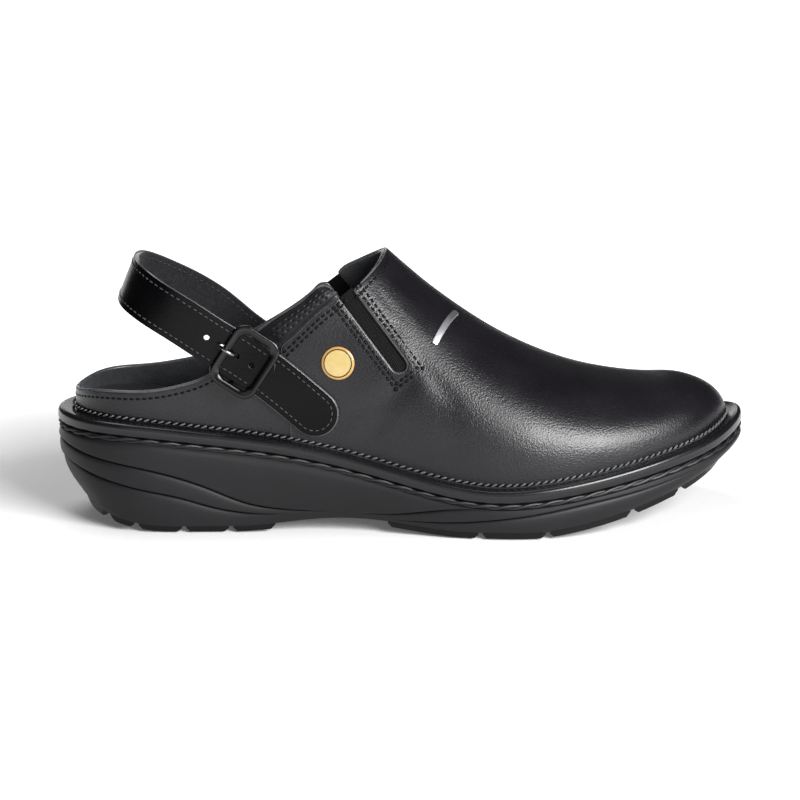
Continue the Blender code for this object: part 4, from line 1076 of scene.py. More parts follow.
class Finishes:
    """The clog's materials, each made once."""

    def __init__(self) -> None:
        """Makes every material."""
        # Smooth full-grain cowhide, dyed black and waxed: broad soft highlights broken by a fine pebble
        self.leather = Finish(
            "waxed full-grain leather", "#070609", "#151317", 0.32, 0.05, 0.70, 0.120, pebbled=True,
            tone_mm=24.0, specular=0.36,
        ).material()
        # Split leather with a smooth finish coat: blacker and smoother than the upper's
        self.strap_leather = Finish(
            "finished strap leather", "#020203", "#060607", 0.27, 0.04, 0.85, 0.040, pebbled=True,
            tone_mm=20.0, specular=0.10,
        ).material()
        # Softer drummed leather of the collar: deeper grain, less gloss
        self.soft_leather = Finish(
            "soft drummed collar leather", "#060608", "#101012", 0.42, 0.06, 0.9, 0.080, pebbled=True,
            tone_mm=8.0, specular=0.16,
        ).material()
        # Cut edge of leather, rubbed with wax: paler than its faces, partly its own colour and partly a
        # painted highlight along the rims
        self.edge = Finish(
            "burnished leather edge with painted highlight", "#303234", "#4a4c4e", 0.28, 0.05, 0.5, 0.02, tone_mm=6.0
        ).material()
        # Buffed lining leather, dark grey and matte
        self.lining = Finish(
            "buffed grey lining leather", "#1b1c1e", "#3a3b3f", 0.72, 0.06, 0.7, 0.050, sheen=0.15,
            tone_mm=4.0, specular=0.3,
        ).material()
        # The same leather on the inner sole, smoother and darker than the lining
        self.insole = Finish(
            "insole cover leather", "#111113", "#242528", 0.62, 0.06, 0.7, 0.040, tone_mm=5.0, specular=0.3
        ).material()
        # Flesh side of the strap: suede nap with specks
        self.suede = Finish(
            "suede strap lining", "#0a0a0c", "#252528", 0.90, 0.04, 0.6, 0.08, sheen=0.05, tone_mm=1.6,
            specular=0.15
        ).material()
        # Moulded polyurethane: satin, with the very fine spark-eroded texture of its mould
        self.polyurethane = Finish(
            "moulded polyurethane", "#0e0e10", "#151517", 0.48, 0.05, 0.5, 0.020, tone_mm=40.0,
            specular=0.24
        ).material()
        # The same polyurethane, rubbed by hand along the welt's band: nearly glossy
        self.welt = Finish(
            "rubbed polyurethane welt", "#0c0c0e", "#131315", 0.24, 0.05, 0.5, 0.015, tone_mm=25.0,
            specular=0.36
        ).material()
        # Nitrile rubber of the treads, glossier and blacker than the sole
        self.rubber = Finish(
            "moulded nitrile rubber", "#030303", "#070708", 0.32, 0.05, 0.5, 0.01, specular=0.2
        ).material()
        # Bonded polyester sewing thread, black on the upper and grey on the strap
        self.black_thread = Finish(
            "black polyester thread", "#020203", "#070708", 0.48, 0.05, 0.3, 0.03, specular=0.12
        ).material()
        self.grey_thread = Finish(
            "grey polyester thread", "#242628", "#404244", 0.36, 0.05, 0.3, 0.03, specular=0.3
        ).material()
        # Waxed linen thread of the seam round the last, which glints between its holes
        self.waxed_thread = Finish(
            "waxed linen thread", "#3e4042", "#6c6e70", 0.30, 0.05, 0.3, 0.03
        ).material()
        # Painted shade of the needle holes: a near-black patch under each stitch, dark under any light
        self.hole_shade = Finish(
            "painted needle-hole shade", "#010101", "#030303", 0.80, 0.05, 0.3, 0.02, specular=0.05
        ).material()
        # Seam moulded in the polyurethane of the sole, rubbed a little shinier on its strands
        self.rope = Finish(
            "moulded seam strands", "#0e0e10", "#1a1a1c", 0.46, 0.05, 0.3, 0.02, specular=0.3
        ).material()
        # Woven elastic: ribs of rubber-cored yarn, without gloss
        self.elastic = Finish(
            "woven elastic webbing", "#030304", "#0a0a0b", 0.62, 0.05, 0.25, 0.05, specular=0.14
        ).material()
        # Stoved black lacquer on steel: deep black with hard highlights
        self.lacquer = Finish(
            "black lacquered steel", "#020202", "#040405", 0.20, 0.03, 0.8, 0.002, specular=0.3
        ).material()
        # Polished steel of the tongue, where the strap has worn its lacquer off
        self.steel = Finish(
            "polished steel", "#6c6c6e", "#8a8a8c", 0.22, 0.05, 0.5, 0.003, metallic=1.0
        ).material()
        # Die-cast metal, brushed and left bare
        self.silver = Finish(
            "satin nickel", "#a8a8aa", "#d0d0d2", 0.42, 0.06, 0.4, 0.02, metallic=1.0
        ).material()
        # Cold enamel, pale yellow in the middle and deeper round the rim
        self.enamel = Finish(
            "pale yellow enamel", "#9a8650", "#a6915a", 0.32, 0.03, 1.5, 0.003, coat=0.3
        ).material()
        self.enamel_rim = Finish(
            "amber enamel", "#9c7232", "#a87e3e", 0.32, 0.03, 1.5, 0.003, coat=0.3
        ).material()
        self.ink = Finish("baked dark enamel", "#1c160a", "#2a210e", 0.35, 0.03, 0.8, 0.003).material()


def dress(piece: bpy.types.Object, slot: str, *nodes: str) -> bpy.types.Object:
    """Rides a piece on the shoe and lets it stand for CAD nodes.

    Args:
        piece: the piece.
        slot: not used.
        *nodes: CAD nodes that it replaces.

    Returns:
        The same piece.
    """
    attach(piece, "root")
    if nodes:
        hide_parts(*nodes)
    LOG.info("%s: %d faces", piece.name, len(piece.data.polygons))
    return piece


# Stitching


@dataclass(frozen=True)
class Stitch:
    """A sewn row: pitch and sizes of its stitches in metres."""

    pitch: float
    length: float
    width: float
    height: float
    slant_deg: float = 0.0

    def hole_shade(self) -> Stitch:
        """Flat dark patch under the thread that paints the shade of its needle hole: longer, wider and nearly
        flat.
        """
        return replace(
            self, length=self.length * 1.15, width=self.width * 1.6, height=0.06 * MM, slant_deg=0.0
        )

    def along(self, path: Array, normals: Array) -> tuple[Array, list]:
        """Row of capsules along a path.

        Each is an ellipsoid of 4 rings by 6 corners, its length on the path and its height on the normal.

        Args:
            path: a place for each stitch.
            normals: outward directions there.

        Returns:
            Points and faces.
        """
        flow = unit(np.gradient(path, axis=0))
        over = unit(normals - flow * np.sum(normals * flow, axis=1, keepdims=True))
        side = np.cross(over, flow)
        slant = math.radians(self.slant_deg)
        level, tilt = math.cos(slant), math.sin(slant)
        flow, side = flow * level + side * tilt, side * level - flow * tilt
        rings, corners = 4, 6
        polar = np.linspace(0.0, math.pi, rings + 2)[1:-1]
        angle = np.linspace(0.0, 2.0 * math.pi, corners, endpoint=False)
        along = np.repeat(np.cos(polar), corners) * self.length / 2.0
        round_ = np.repeat(np.sin(polar) ** 0.6, corners)
        wide = round_ * np.tile(np.cos(angle), rings) * self.width / 2.0
        high = round_ * np.tile(np.sin(angle), rings) * self.height
        shape = np.column_stack([
            np.append(along, [self.length / 2.0, -self.length / 2.0]), np.append(wide, [0.0, 0.0]),
            np.append(high, [0.0, 0.0]),
        ])
        points = (
            path[:, None] + shape[None, :, :1] * flow[:, None] + shape[None, :, 1:2] * side[:, None]
            + shape[None, :, 2:] * over[:, None]
        )
        body = grid_quads(rings, corners, wrap=True)[:, ::-1]
        tips = [(rings * corners, step, (step + 1) % corners) for step in range(corners)]
        low = (rings - 1) * corners
        tips += [(rings * corners + 1, low + (step + 1) % corners, low + step) for step in range(corners)]
        size = len(shape)
        shapes = [tuple(face) for face in body] + tips
        starts = range(0, len(path) * size, size)
        faces = [tuple(start + corner for corner in face) for start in starts for face in shapes]
        return points.reshape(-1, 3), faces


# Seams of the upper, round the last and along the strap
UPPER_STITCH = Stitch(0.0027, 0.0018, 0.0007, 0.0002)
LASTING_STITCH = Stitch(0.0030, 0.0027, 0.0008, 0.0006, 24.0)
STRAP_STITCH = Stitch(0.0026, 0.0018, 0.0006, 0.0003)


def sewn(
    name: str, rows: Sequence[tuple[Array, Array, Stitch]], thread: bpy.types.Material,
    mark: bpy.types.Material,
) -> bpy.types.Object:
    """Sewn rows as one piece: under each stitch's thread lies a wider, flat, near-black patch of painted
    shade.

    Args:
        name: the piece's name.
        rows: places, outward directions and stitch of each row.
        thread: material of the thread.
        mark: material of the painted shade patches.

    Returns:
        The piece.
    """
    threads = joined([stitch.along(path, normals) for path, normals, stitch in rows])
    # Painted shade: a flat near-black patch under each thread stands for the needle hole's shade
    hole_shades = joined([stitch.hole_shade().along(path, normals) for path, normals, stitch in rows])
    which = np.repeat([0, 1], [len(threads[1]), len(hole_shades[1])])
    return mesh_piece(name, *joined([threads, hole_shades]), [thread, mark], which)


def last_row(spots: Array, offset: float, stitch: Stitch) -> tuple[Array, Array, Stitch]:
    """Places, outward directions and stitch of a row on the last's skin along a line of (turn, arch).

    Args:
        spots: rows of (turn, arch).
        offset: height of the skin over the last.
        stitch: the stitch of the row.

    Returns:
        The three, as sewn takes them.
    """
    lengths = travelled(LAST.skin(spots, offset))
    count = max(int(round(lengths[-1] / stitch.pitch)) + 1, 3)
    even = columns_at(np.linspace(0.0, lengths[-1], count), lengths, spots)
    return LAST.skin(even, offset), LAST.normal(even[:, 0], even[:, 1]), stitch


def side_normals(line: Array) -> Array:
    """Unit vectors across a side-view line."""
    along = unit(np.gradient(line, axis=0))
    return np.column_stack([-along[:, 1], along[:, 0]])


# Sole


@dataclass
class Sole:
    """Moulded sole with its welt band, sewn groove and two flowing lines."""

    finishes: Finishes
    stations: int = 190
    side_rows: tuple = (13, 22, 15)
    line_depth: float = 0.0024
    line_slit: float = 0.0003
    line_lip: float = 0.00012
    line_return: float = 0.0021
    line_room: float = 0.0006
    slit_share: float = 0.45
    crowding: tuple = (2.4, 2.0)
    ledge_insets: tuple = (1.4, 1.0, 0.6, 0.25)
    rope_seat: float = 0.55
    rope_pitch: float = 0.018
    rope_swing: float = 0.00050
    rope_radius: float = 0.00062

    def build(self) -> None:
        """Builds the sole and the thread in its groove."""
        plain, deep = outline_ring(0.0, self.stations), outline_ring(SIZE.side_tuck, self.stations)
        x = plain[:, 0]
        lip = ledge_height(x) - SIZE.band_height

        def ring(inset: Array | float, height: Array) -> Array:
            """Ring at an inset from the outline, on the straight way to the deepest inset."""
            share = np.broadcast_to(inset, len(plain))[:, None] / SIZE.side_tuck
            return np.column_stack([plain + (deep - plain) * share, height])

        rings = []
        for share in self.ledge_insets:
            flat = outline_ring(SIZE.welt_width * share, self.stations)
            rings.append(np.column_stack([flat, ledge_height(flat[:, 0])]))
        for inset, drop in BAND_PROFILE:
            rings.append(ring(SIZE.band_round * inset, ledge_height(x) - SIZE.band_height * drop))
        groove = SIZE.stitch_groove_height
        for drop, depth in GROOVE_PROFILE:
            rings.append(ring(SIZE.stitch_groove_depth * depth, lip - groove * drop))
        rings += self._side(x, lip - groove, ring)
        points = np.vstack(rings)
        faces = [tuple(face) for face in grid_quads(len(rings), len(plain), wrap=True)]
        faces += ladder_ends(len(rings), len(plain), -1)
        which = np.ones(len(faces))
        which[:(len(self.ledge_insets) - 1 + len(BAND_PROFILE)) * len(plain)] = 0
        finishes = [self.finishes.welt, self.finishes.polyurethane]
        sole = mesh_piece("moulded_sole", points, faces, finishes, which, sharp_deg=70.0)
        dress(sole, "sole", "sole")
        self._thread(plain, deep, lip - groove * 0.5)

    def _side(self, x: Array, top: Array, ring: Callable) -> list[Array]:
        """Rings down the side: the tuck's curve, less a sharp step and a slow return at each line.

        The rings crowd at both lines, so that the steps stay crisp.

        Args:
            x: places of the outline's points.
            top: heights where the side starts.
            ring: makes a ring from insets and heights.

        Returns:
            Rings of points, from the top down.
        """
        bottom = floor_height(x) + SIZE.tread_thickness + SIZE.gap
        share = x / SIZE.length
        upper, upper_depth, lower, lower_depth = (
            cubic_through(SIDE_LINES[:, 0], SIDE_LINES[:, column])(share) for column in range(1, 5)
        )
        room = self.line_room
        lower = np.maximum(lower * SIZE.heel_height, bottom + room)
        upper = np.clip(upper * SIZE.heel_height, lower + room, top - room)
        above, between, below = (np.linspace(0.0, 1.0, rows) for rows in self.side_rows)
        crowd_above, crowd_below = self.crowding
        heights = [upper + (top - upper) * (1.0 - way) ** crowd_above for way in above[1:]]
        heights += [upper + (lower - upper) * (1.0 - math.cos(math.pi * way)) / 2.0 for way in between[1:]]
        heights += [lower + (bottom - lower) * way ** crowd_below for way in below[1:]]
        tuck = cubic_through(SIDE_TUCK_PROFILE[:, 0], SIDE_TUCK_PROFILE[:, 1])
        rings = []
        for height in heights:
            inset = np.maximum(tuck((top - height) / (top - bottom)), 0.0) * tuck_depth(x)
            for line, depth in ((upper, upper_depth), (lower, lower_depth)):
                off = height - line
                slit, bevel = np.exp(off / self.line_slit), np.exp(off / self.line_return)
                low = self.slit_share * slit + (1.0 - self.slit_share) * bevel
                fall = np.where(off > 1e-6, np.exp(-off / self.line_lip), low)
                inset = inset + self.line_depth * np.clip(depth, 0.0, 1.0) * fall
            rings.append(ring(inset, height))
        return rings

    def _thread(self, plain: Array, deep: Array, height: Array) -> None:
        """Two twisted strands in the groove: each circles the groove's line once every two stitches.

        Args:
            plain: the outline.
            deep: the outline at the deepest inset.
            height: heights of the groove's middle.
        """
        share = SIZE.stitch_groove_depth * self.rope_seat / SIZE.side_tuck
        ring = np.column_stack([plain + (deep - plain) * share, height])
        path = resampled(np.vstack([ring, ring[:1]]), MM)
        up = np.array([0.0, 0.0, 1.0])
        out = unit(np.cross(unit(np.gradient(path, axis=0)), up))
        lengths = travelled(path)
        turns = int(round(lengths[-1] / self.rope_pitch))
        strands = []
        for phase in (0.0, math.pi):
            angle = (lengths / lengths[-1] * turns * 2.0 * math.pi + phase)[:, None]
            swing = self.rope_swing * (np.cos(angle) * out + np.sin(angle) * up)
            strands.append(tube(path + swing, self.rope_radius, sides=7))
        thread = mesh_piece("welt_seam_thread", *joined(strands), [self.finishes.rope])
        dress(thread, "sole")


@dataclass
class Treads:
    """Rubber lugs under the heel and the forefoot, with a fine pattern on their undersides."""

    finishes: Finishes
    heel_lugs: tuple = ((0.044, 0.074), (0.079, 0.113), (0.119, 0.181), (0.187, 0.248), (0.254, 0.314))
    forefoot_lugs: tuple = ((0.474, 0.601), (0.607, 0.696), (0.702, 0.819), (0.825, 0.891), (0.897, 0.985))
    row_step: float = 0.0008
    columns: int = 48
    overhang: float = 0.0007
    chamfer: float = 0.0022
    chamfer_share: float = 0.8
    edge_ease: float = 0.0005
    rib_pitch: float = 0.0045
    rib_depth: float = 0.0007
    rib_sway: float = 2.2
    sway_width: float = 0.016

    def build(self) -> None:
        """Builds both treads."""
        for place, lugs in (("heel", self.heel_lugs), ("forefoot", self.forefoot_lugs)):
            parts = joined([self._lug(first, last) for first, last in lugs])
            dress(mesh_piece(f"{place}_lugs", *parts, [self.finishes.rubber]), "tread", f"tread_{place}")

    @staticmethod
    def _under_sole(x: Array) -> Array:
        """Height of the sole's underside less the gap, along its tucked bottom edge at the heel and toe.

        Args:
            x: places from the heel's tip.

        Returns:
            Heights over the floor.
        """
        plain, deep = (outline_side(inset, HALF_TURN, Side.LATERAL)[:, 0] for inset in (0.0, SIZE.side_tuck))
        edge = plain + (deep - plain) * tuck_depth(plain) / SIZE.side_tuck
        return np.interp(x, edge, floor_height(plain) + SIZE.tread_thickness)

    def _lug(self, first: float, last: float) -> tuple[Array, list]:
        """One lug: a slab under the sole whose underside carries shallow waves across, eased at its edges.

        Args:
            first: first station.
            last: last station.

        Returns:
            Points and faces.
        """
        rows = int((last - first) * SIZE.length / self.row_step)
        station = np.linspace(first, last, rows)
        sides = []
        for side in Side:
            plain, deep = (outline_side(inset, HALF_TURN, side) for inset in (0.0, SIZE.side_tuck))
            share = (tuck_depth(plain[:, :1]) + SIZE.tread_inset - self.overhang) / SIZE.side_tuck
            sides.append(plain + (deep - plain) * share)
        x = np.clip(station * SIZE.length, sides[0][0, 0] + MM, sides[0][-1, 0] - MM)
        left, right = (np.interp(x, line[:, 0], line[:, 1]) for line in sides)
        across = np.linspace(0.0, 1.0, self.columns)
        y = left[:, None] + (right - left)[:, None] * across
        along = (station - first) / (last - first)
        ends = np.minimum(station - first, last - station) * SIZE.length
        cut = np.clip(1.0 - ends / self.chamfer, 0.0, 1.0)[:, None]
        cut = cut * SIZE.tread_thickness * self.chamfer_share
        # Rows or columns in from the nearest edge
        from_ends, from_sides = np.minimum(along, 1.0 - along), np.minimum(across, 1.0 - across)
        edge = np.minimum(from_ends[:, None] * rows, from_sides * 40.0)
        ease = np.clip(1.0 - edge, 0.0, 1.0) ** 2 * self.edge_ease
        sway = self.rib_sway * np.sin(y / self.sway_width)
        wave = np.sin((x[:, None] / self.rib_pitch + sway) * 2.0 * math.pi)
        ribs = np.clip(wave * 2.5 - 1.2, 0.0, 1.0) * self.rib_depth * np.clip(edge - 1.0, 0.0, 1.0)
        under_sole = self._under_sole(x)
        floor = np.maximum(floor_height(x), under_sole - SIZE.tread_thickness)
        low = floor[:, None] + np.maximum(ease + ribs, cut)
        top = np.broadcast_to((under_sole + SIZE.gap)[:, None], low.shape)
        grid_x = np.broadcast_to(x[:, None], low.shape)
        return slab(np.stack([grid_x, y, top], axis=-1), np.stack([grid_x, y, low], axis=-1))


@dataclass
class Insole:
    """Inner sole, cupped round the heel, with a thin top cover."""

    finishes: Finishes
    thickness: float = 0.0048
    stations: int = 90

    def build(self) -> None:
        """Rings from the rim of the cup to the middle, closed by strips from side to side."""
        rings = []
        for inset, lift in CUP_PROFILE:
            flat = outline_ring(SIZE.welt_width + inset * MM, self.stations)
            height = ledge_height(flat[:, 0]) + SIZE.gap + (self.thickness - SIZE.gap) * lift
            rings.append(np.column_stack([flat, height]))
        count = len(rings[0])
        faces = [tuple(face) for face in grid_quads(len(rings), count, wrap=True)[:, ::-1]]
        faces += ladder_ends(len(rings), count, 1)
        insole = mesh_piece("inner_sole", np.vstack(rings), faces, [self.finishes.insole])
        dress(insole, "lining", "insole")


# Upper


@dataclass
class Upper:
    """Lining wall, outer front piece, collar pads and elastic gores, with their stitching."""

    finishes: Finishes
    turns: int = 250
    arches: int = 150
    slot_width: float = 0.0074
    gore_face: float = 0.0011
    gore_ribs: float = 9.0
    rib_height: float = 0.00035
    pad_rows: int = 90
    pad_columns: int = 40
    pad_base: float = 0.0010
    pad_swell: float = 0.0016
    dimple_rows: tuple = (0.30, 0.50, 0.70)
    dimple_width: float = 0.045
    dimple_pitch: float = 0.0028
    dimple_depth: float = 0.0005
    pad_groove: tuple = (0.88, 0.025)
    rim_inset: float = 0.0030
    vamp_inset: float = 0.0022
    edge_insets: tuple = (0.0015, 0.0033)
    lasting_height: float = 0.0009

    def keep_below_top(self, spots: Array) -> Array:
        """Positive below the upper's top edge.

        Args:
            spots: rows of (turn, arch).

        Returns:
            Height left under the edge.
        """
        at = LAST.skin(spots, SIZE.lining)
        lateral, medial = (top_edge(side, at[:, 0]) - at[:, 2] for side in Side)
        return mixed(spots, lateral, medial)

    def keep_off_gores(self, spots: Array) -> Array:
        """Positive outside both gore slots: distance to each slot's middle line less half its width.

        Args:
            spots: rows of (turn, arch).

        Returns:
            Distance outside the nearer slot.
        """
        at = LAST.skin(spots, SIZE.lining)[:, (0, 2)]
        values = []
        for side in Side:
            mouth, along, across, length = gore_axes(side)
            rel = at - mouth
            run = np.clip(rel @ along, -0.05, length - self.slot_width / 2.0)
            values.append(np.linalg.norm(rel - run[:, None] * along, axis=1) - self.slot_width / 2.0)
        return np.where(spots[:, 1] < math.pi / 2.0, values[0], values[1])

    def keep_front(self, spots: Array) -> Array:
        """Positive ahead of the outer front piece's rear edge.

        Args:
            spots: rows of (turn, arch).

        Returns:
            Distance ahead of the edge.
        """
        at = LAST.skin(spots, SIZE.lining)
        values = []
        for side in Side:
            line = smooth_line(in_view(FRONT_EDGE[side]), 240)
            values.append(at[:, 0] - np.interp(at[:, 2], line[:, 1], line[:, 0]))
        return mixed(spots, *values)

    @staticmethod
    def creases(spots: Array) -> Array:
        """Relief of the leather: a sum of creases, each a bell across its line that fades at its ends.

        Args:
            spots: rows of (turn, arch).

        Returns:
            Height of the relief at each.
        """
        at = LAST.skin(spots, SIZE.lining)[:, (0, 2)]
        relief = np.zeros(len(at))
        for first_x, first_z, last_x, last_z, half, depth in CREASES:
            first, last = in_view((first_x, first_z)), in_view((last_x, last_z))
            length = np.linalg.norm(last - first)
            along = (last - first) / length
            run = (at - first) @ along
            beyond = np.maximum(np.maximum(-run, run - length), 0.0)
            off = (at - first) @ np.array([-along[1], along[0]])
            relief -= depth * MM * np.exp(-(off / (half * MM)) ** 2 - (beyond / (2.0 * half * MM)) ** 2)
        return relief

    def sheet(self) -> Sheet:
        """Fine grid over the whole last, cut along the top edge and round the gores."""
        grid = Sheet.grid(np.linspace(0.0, math.pi, self.turns), np.linspace(0.0, math.pi, self.arches))
        return grid.cut(self.keep_below_top).cut(self.keep_off_gores)

    def build(self) -> None:
        """Builds the walls, then what is sewn to them."""
        sheet = self.sheet()
        wall = sheet.solid(
            "quarter_and_lining", LAST.skin, 0.0, SIZE.lining,
            [self.finishes.leather, self.finishes.lining, self.finishes.edge],
        )
        dress(wall, "leather", "upper")
        front = sheet.cut(self.keep_front)
        outside = SIZE.lining + SIZE.front_piece + self.creases(front.spots)
        piece = front.solid(
            "outer_front_piece", LAST.skin, SIZE.lining, outside,
            [self.finishes.leather, self.finishes.leather, self.finishes.edge],
        )
        dress(piece, "leather")
        for side in Side:
            self._gore(side)
            self._pad(side)
        self._seams()

    def _strip(
        self, name: str, side: Side, middle: Array, across: Array, low: Array, high: Array,
        inner: float, outer: Array, finish: bpy.types.Material,
    ) -> bpy.types.Object:
        """Slab on the wall: side-view rows from low to high across a middle line.

        Args:
            name: the piece's name.
            side: outer or inner side.
            middle: points of the middle line, in side view.
            across: direction across it at each point.
            low: first distance across at each point.
            high: last distance across at each point.
            inner: offset of the slab's inner face from the last.
            outer: offset of its outer face, a row for each point.
            finish: its material.

        Returns:
            The new object.
        """
        share = np.linspace(0.0, 1.0, outer.shape[1])[None, :, None]
        reach = low[:, None, None] + (high - low)[:, None, None] * share
        flat = middle[:, None, :] + across[:, None, :] * reach
        spots = LAST.spots(side, flat, SIZE.lining)
        over, under = LAST.skin(spots, outer), LAST.skin(spots, np.full(outer.shape, inner))
        return mesh_piece(name, *slab(over, under, side is Side.LATERAL), [finish], sharp_deg=55.0)

    def _gore(self, side: Side) -> None:
        """Elastic strip: ribs run along it as a cosine across its width.

        Args:
            side: outer or inner side.
        """
        mouth, along, across, length = gore_axes(side)
        radius = self.slot_width / 2.0 - SIZE.gap * 0.3
        end = length - self.slot_width / 2.0
        bend = np.linspace(0.15, 1.52, 12)
        way = np.concatenate([np.linspace(-0.4 * MM, end, 40), end + radius * np.sin(bend)])
        half = np.where(way <= end, radius, np.sqrt(np.maximum(radius ** 2 - (way - end) ** 2, 0.0)))
        share = np.linspace(-1.0, 1.0, 61)[None]
        ribs = 0.5 + 0.5 * np.cos(share * half[:, None] / radius * math.pi * self.gore_ribs)
        outer = SIZE.gap + self.gore_face + self.rib_height * ribs
        piece = self._strip(
            f"gore_elastic_{side.value}", side, mouth + along * way[:, None], np.tile(across, (len(way), 1)),
            -half, half, SIZE.gap, outer, self.finishes.elastic,
        )
        dress(piece, "elastic", f"gore_{side.value}")

    def _pad(self, side: Side) -> None:
        """Collar pad: a soft swell with three rows of small dimples and a sewn edge.

        Args:
            side: outer or inner side.
        """
        rows, columns = self.pad_rows, self.pad_columns
        top = smooth_line(in_view(COLLAR_LINE[side])[8:14], rows) + (0.0, -SIZE.gap)
        low = smooth_line(in_view(FRONT_EDGE[side])[3:9], rows) + (-SIZE.gap * 2.0, SIZE.gap * 3.0)
        across = top - low
        width = np.linalg.norm(across, axis=1)
        share = np.linspace(0.0, 1.0, columns)[None]
        way = np.linspace(0.0, 1.0, rows)[:, None]
        ends = np.clip(way * 5.0, 0.15, 1.0) * np.clip((1.0 - way) * 7.0, 0.15, 1.0)
        swell = np.sin(math.pi * np.clip(share, 0.01, 0.99)) ** 0.45 * ends ** 0.6
        run = travelled(low)[:, None]
        dimples = np.zeros((rows, columns))
        for place in self.dimple_rows:
            beat = 0.5 + 0.5 * np.cos(run / self.dimple_pitch * 2.0 * math.pi + place * 9.0)
            dimples += np.exp(-((share - place) / self.dimple_width) ** 2) * beat ** 3
        place, reach = self.pad_groove
        dimples += np.exp(-((share - place) / reach) ** 2) * 0.5
        outer = SIZE.lining + self.pad_base + self.pad_swell * swell - self.dimple_depth * dimples * ends
        piece = self._strip(
            f"collar_padding_{side.value}", side, low, across / width[:, None], np.zeros(rows), width,
            SIZE.lining + SIZE.gap * 0.5, outer, self.finishes.soft_leather,
        )
        dress(piece, "soft_leather", f"collar_pad_{side.value}")

    def _seams(self) -> None:
        """Every sewn row of the upper as one mesh, and the seam round the last as another."""
        face = SIZE.lining + SIZE.front_piece
        rows = []
        for side in Side:
            rows += [last_row(spots, face, UPPER_STITCH) for spots in self._front_rows(side)]
            rows.append(last_row(self._rim_row(side), SIZE.lining, replace(UPPER_STITCH, width=0.0006)))
        dress(sewn("upper_stitching", rows, self.finishes.black_thread, self.finishes.hole_shade), "leather")
        low = last_row(LAST.level_ring(self.lasting_height, face, 160), face, LASTING_STITCH)
        dress(sewn("lasting_seam", [low], self.finishes.waxed_thread, self.finishes.hole_shade), "leather")

    def _rim_row(self, side: Side) -> Array:
        """Row just under the heel's rim, from the heel's tip forwards.

        Args:
            side: outer or inner side.

        Returns:
            Rows of (turn, arch).
        """
        turn = np.linspace(0.0, float(LAST.turn(0.262 * SIZE.length)), 120)
        x = LAST.along(turn)
        height = top_edge(side, x) - self.rim_inset - ledge_height(x)
        return np.column_stack([turn, LAST.arch(side, turn, height)])

    def _front_rows(self, side: Side) -> list[Array]:
        """Double rows inside the front piece's edge, down and round the gore and along the vamp's top.

        Args:
            side: outer or inner side.

        Returns:
            Rows of (turn, arch) of each seam.
        """
        face = SIZE.lining + SIZE.front_piece
        mouth, along, across, length = gore_axes(side)
        to_toe = across * np.sign(across[0])
        lines = []
        for inset in self.edge_insets:
            reach = self.slot_width / 2.0 + inset
            upper = smooth_line(in_view(FRONT_EDGE[side])[3:9], 40)
            upper = upper - side_normals(upper) * inset
            gore_rear = mouth - to_toe * reach
            stop = np.argmax((upper - gore_rear) @ along > -inset) or len(upper)
            corner_run = length + inset * 0.9
            rear = gore_rear + along * np.linspace(2.0 * MM, corner_run, 30)[:, None]
            front = mouth + to_toe * reach + along * np.linspace(corner_run, MM, 30)[:, None]
            lines += [upper[:stop], rear, np.vstack([rear[-1:], front[:1]]), front]
        vamp = smooth_line(in_view(VAMP_TOP_LINE[side])[1:6], 60)
        lines.append(vamp - side_normals(vamp) * self.vamp_inset)
        return [LAST.spots(side, resampled(line, MM), face) for line in lines]


# Strap and metal


@dataclass
class StrapPath:
    """Middle line of the heel strap with its width and outward directions."""

    steps: int = 400
    blur: int = 25

    def __post_init__(self) -> None:
        """Walks the strap from the outer quarter round the heel to the inner quarter."""
        stack = SIZE.lining + SIZE.front_piece + SIZE.gap
        face = {Side.LATERAL: stack + SIZE.anchor_thickness + SIZE.gap, Side.MEDIAL: stack}
        knots, widths = [], []
        for side in Side:
            spots = in_view(STRAP_ON_WALL[side])
            travel = unit(np.gradient(spots, axis=0))
            flat = np.column_stack([travel[:, 1], -travel[:, 0]]) * (1.0 if side is Side.LATERAL else -1.0)
            depth = face[side] + SIZE.strap_thickness / 2.0
            reach = SIZE.strap_width / 2.0
            centre, upper, lower = (
                LAST.skin(LAST.spots(side, spots + flat * step, depth), depth)
                for step in (0.0, reach, -reach)
            )
            knots.append(centre)
            widths.append(unit(upper - lower))
            if side is Side.LATERAL:
                lean = STRAP_ROUTE[:, 3]
                knots.append(STRAP_ROUTE[:, :3] * (SIZE.length, SIZE.ball_width, SIZE.instep_height))
                widths.append(np.column_stack([lean, np.zeros(len(lean)), np.sqrt(1.0 - lean ** 2)]))
        knots, widths = np.vstack(knots), np.vstack(widths)
        lengths = travelled(knots)
        self.middle = smooth_line(knots, self.steps)
        self.lengths = travelled(self.middle)
        width = columns_at(np.linspace(0.0, lengths[-1], self.steps), lengths, widths)
        kernel = np.hanning(self.blur) / np.hanning(self.blur).sum()
        padded = np.pad(width, ((self.blur // 2, self.blur // 2), (0, 0)), mode="edge")
        width = np.column_stack([np.convolve(column, kernel, mode="valid") for column in padded.T])
        self.along = unit(np.gradient(self.middle, axis=0))
        self.width = unit(width - self.along * np.sum(width * self.along, axis=1, keepdims=True))
        self.out = np.cross(self.width, self.along)

    def place(self, spots: Array, offset: Array | float) -> Array:
        """Points at (length along, distance across) and an offset outwards.

        Args:
            spots: rows of (length, distance across).
            offset: distance outwards.

        Returns:
            Points in heel coordinates.
        """
        run = spots[..., 0]
        tables = (self.middle, self.width, self.out)
        middle, width, out = (columns_at(run, self.lengths, table) for table in tables)
        offset = np.broadcast_to(np.asarray(offset, float), run.shape)
        return middle + width * spots[..., 1:2] + out * offset[..., None]

    def outward(self, spots: Array) -> Array:
        """Outward directions at the spots."""
        return columns_at(spots[..., 0], self.lengths, self.out)


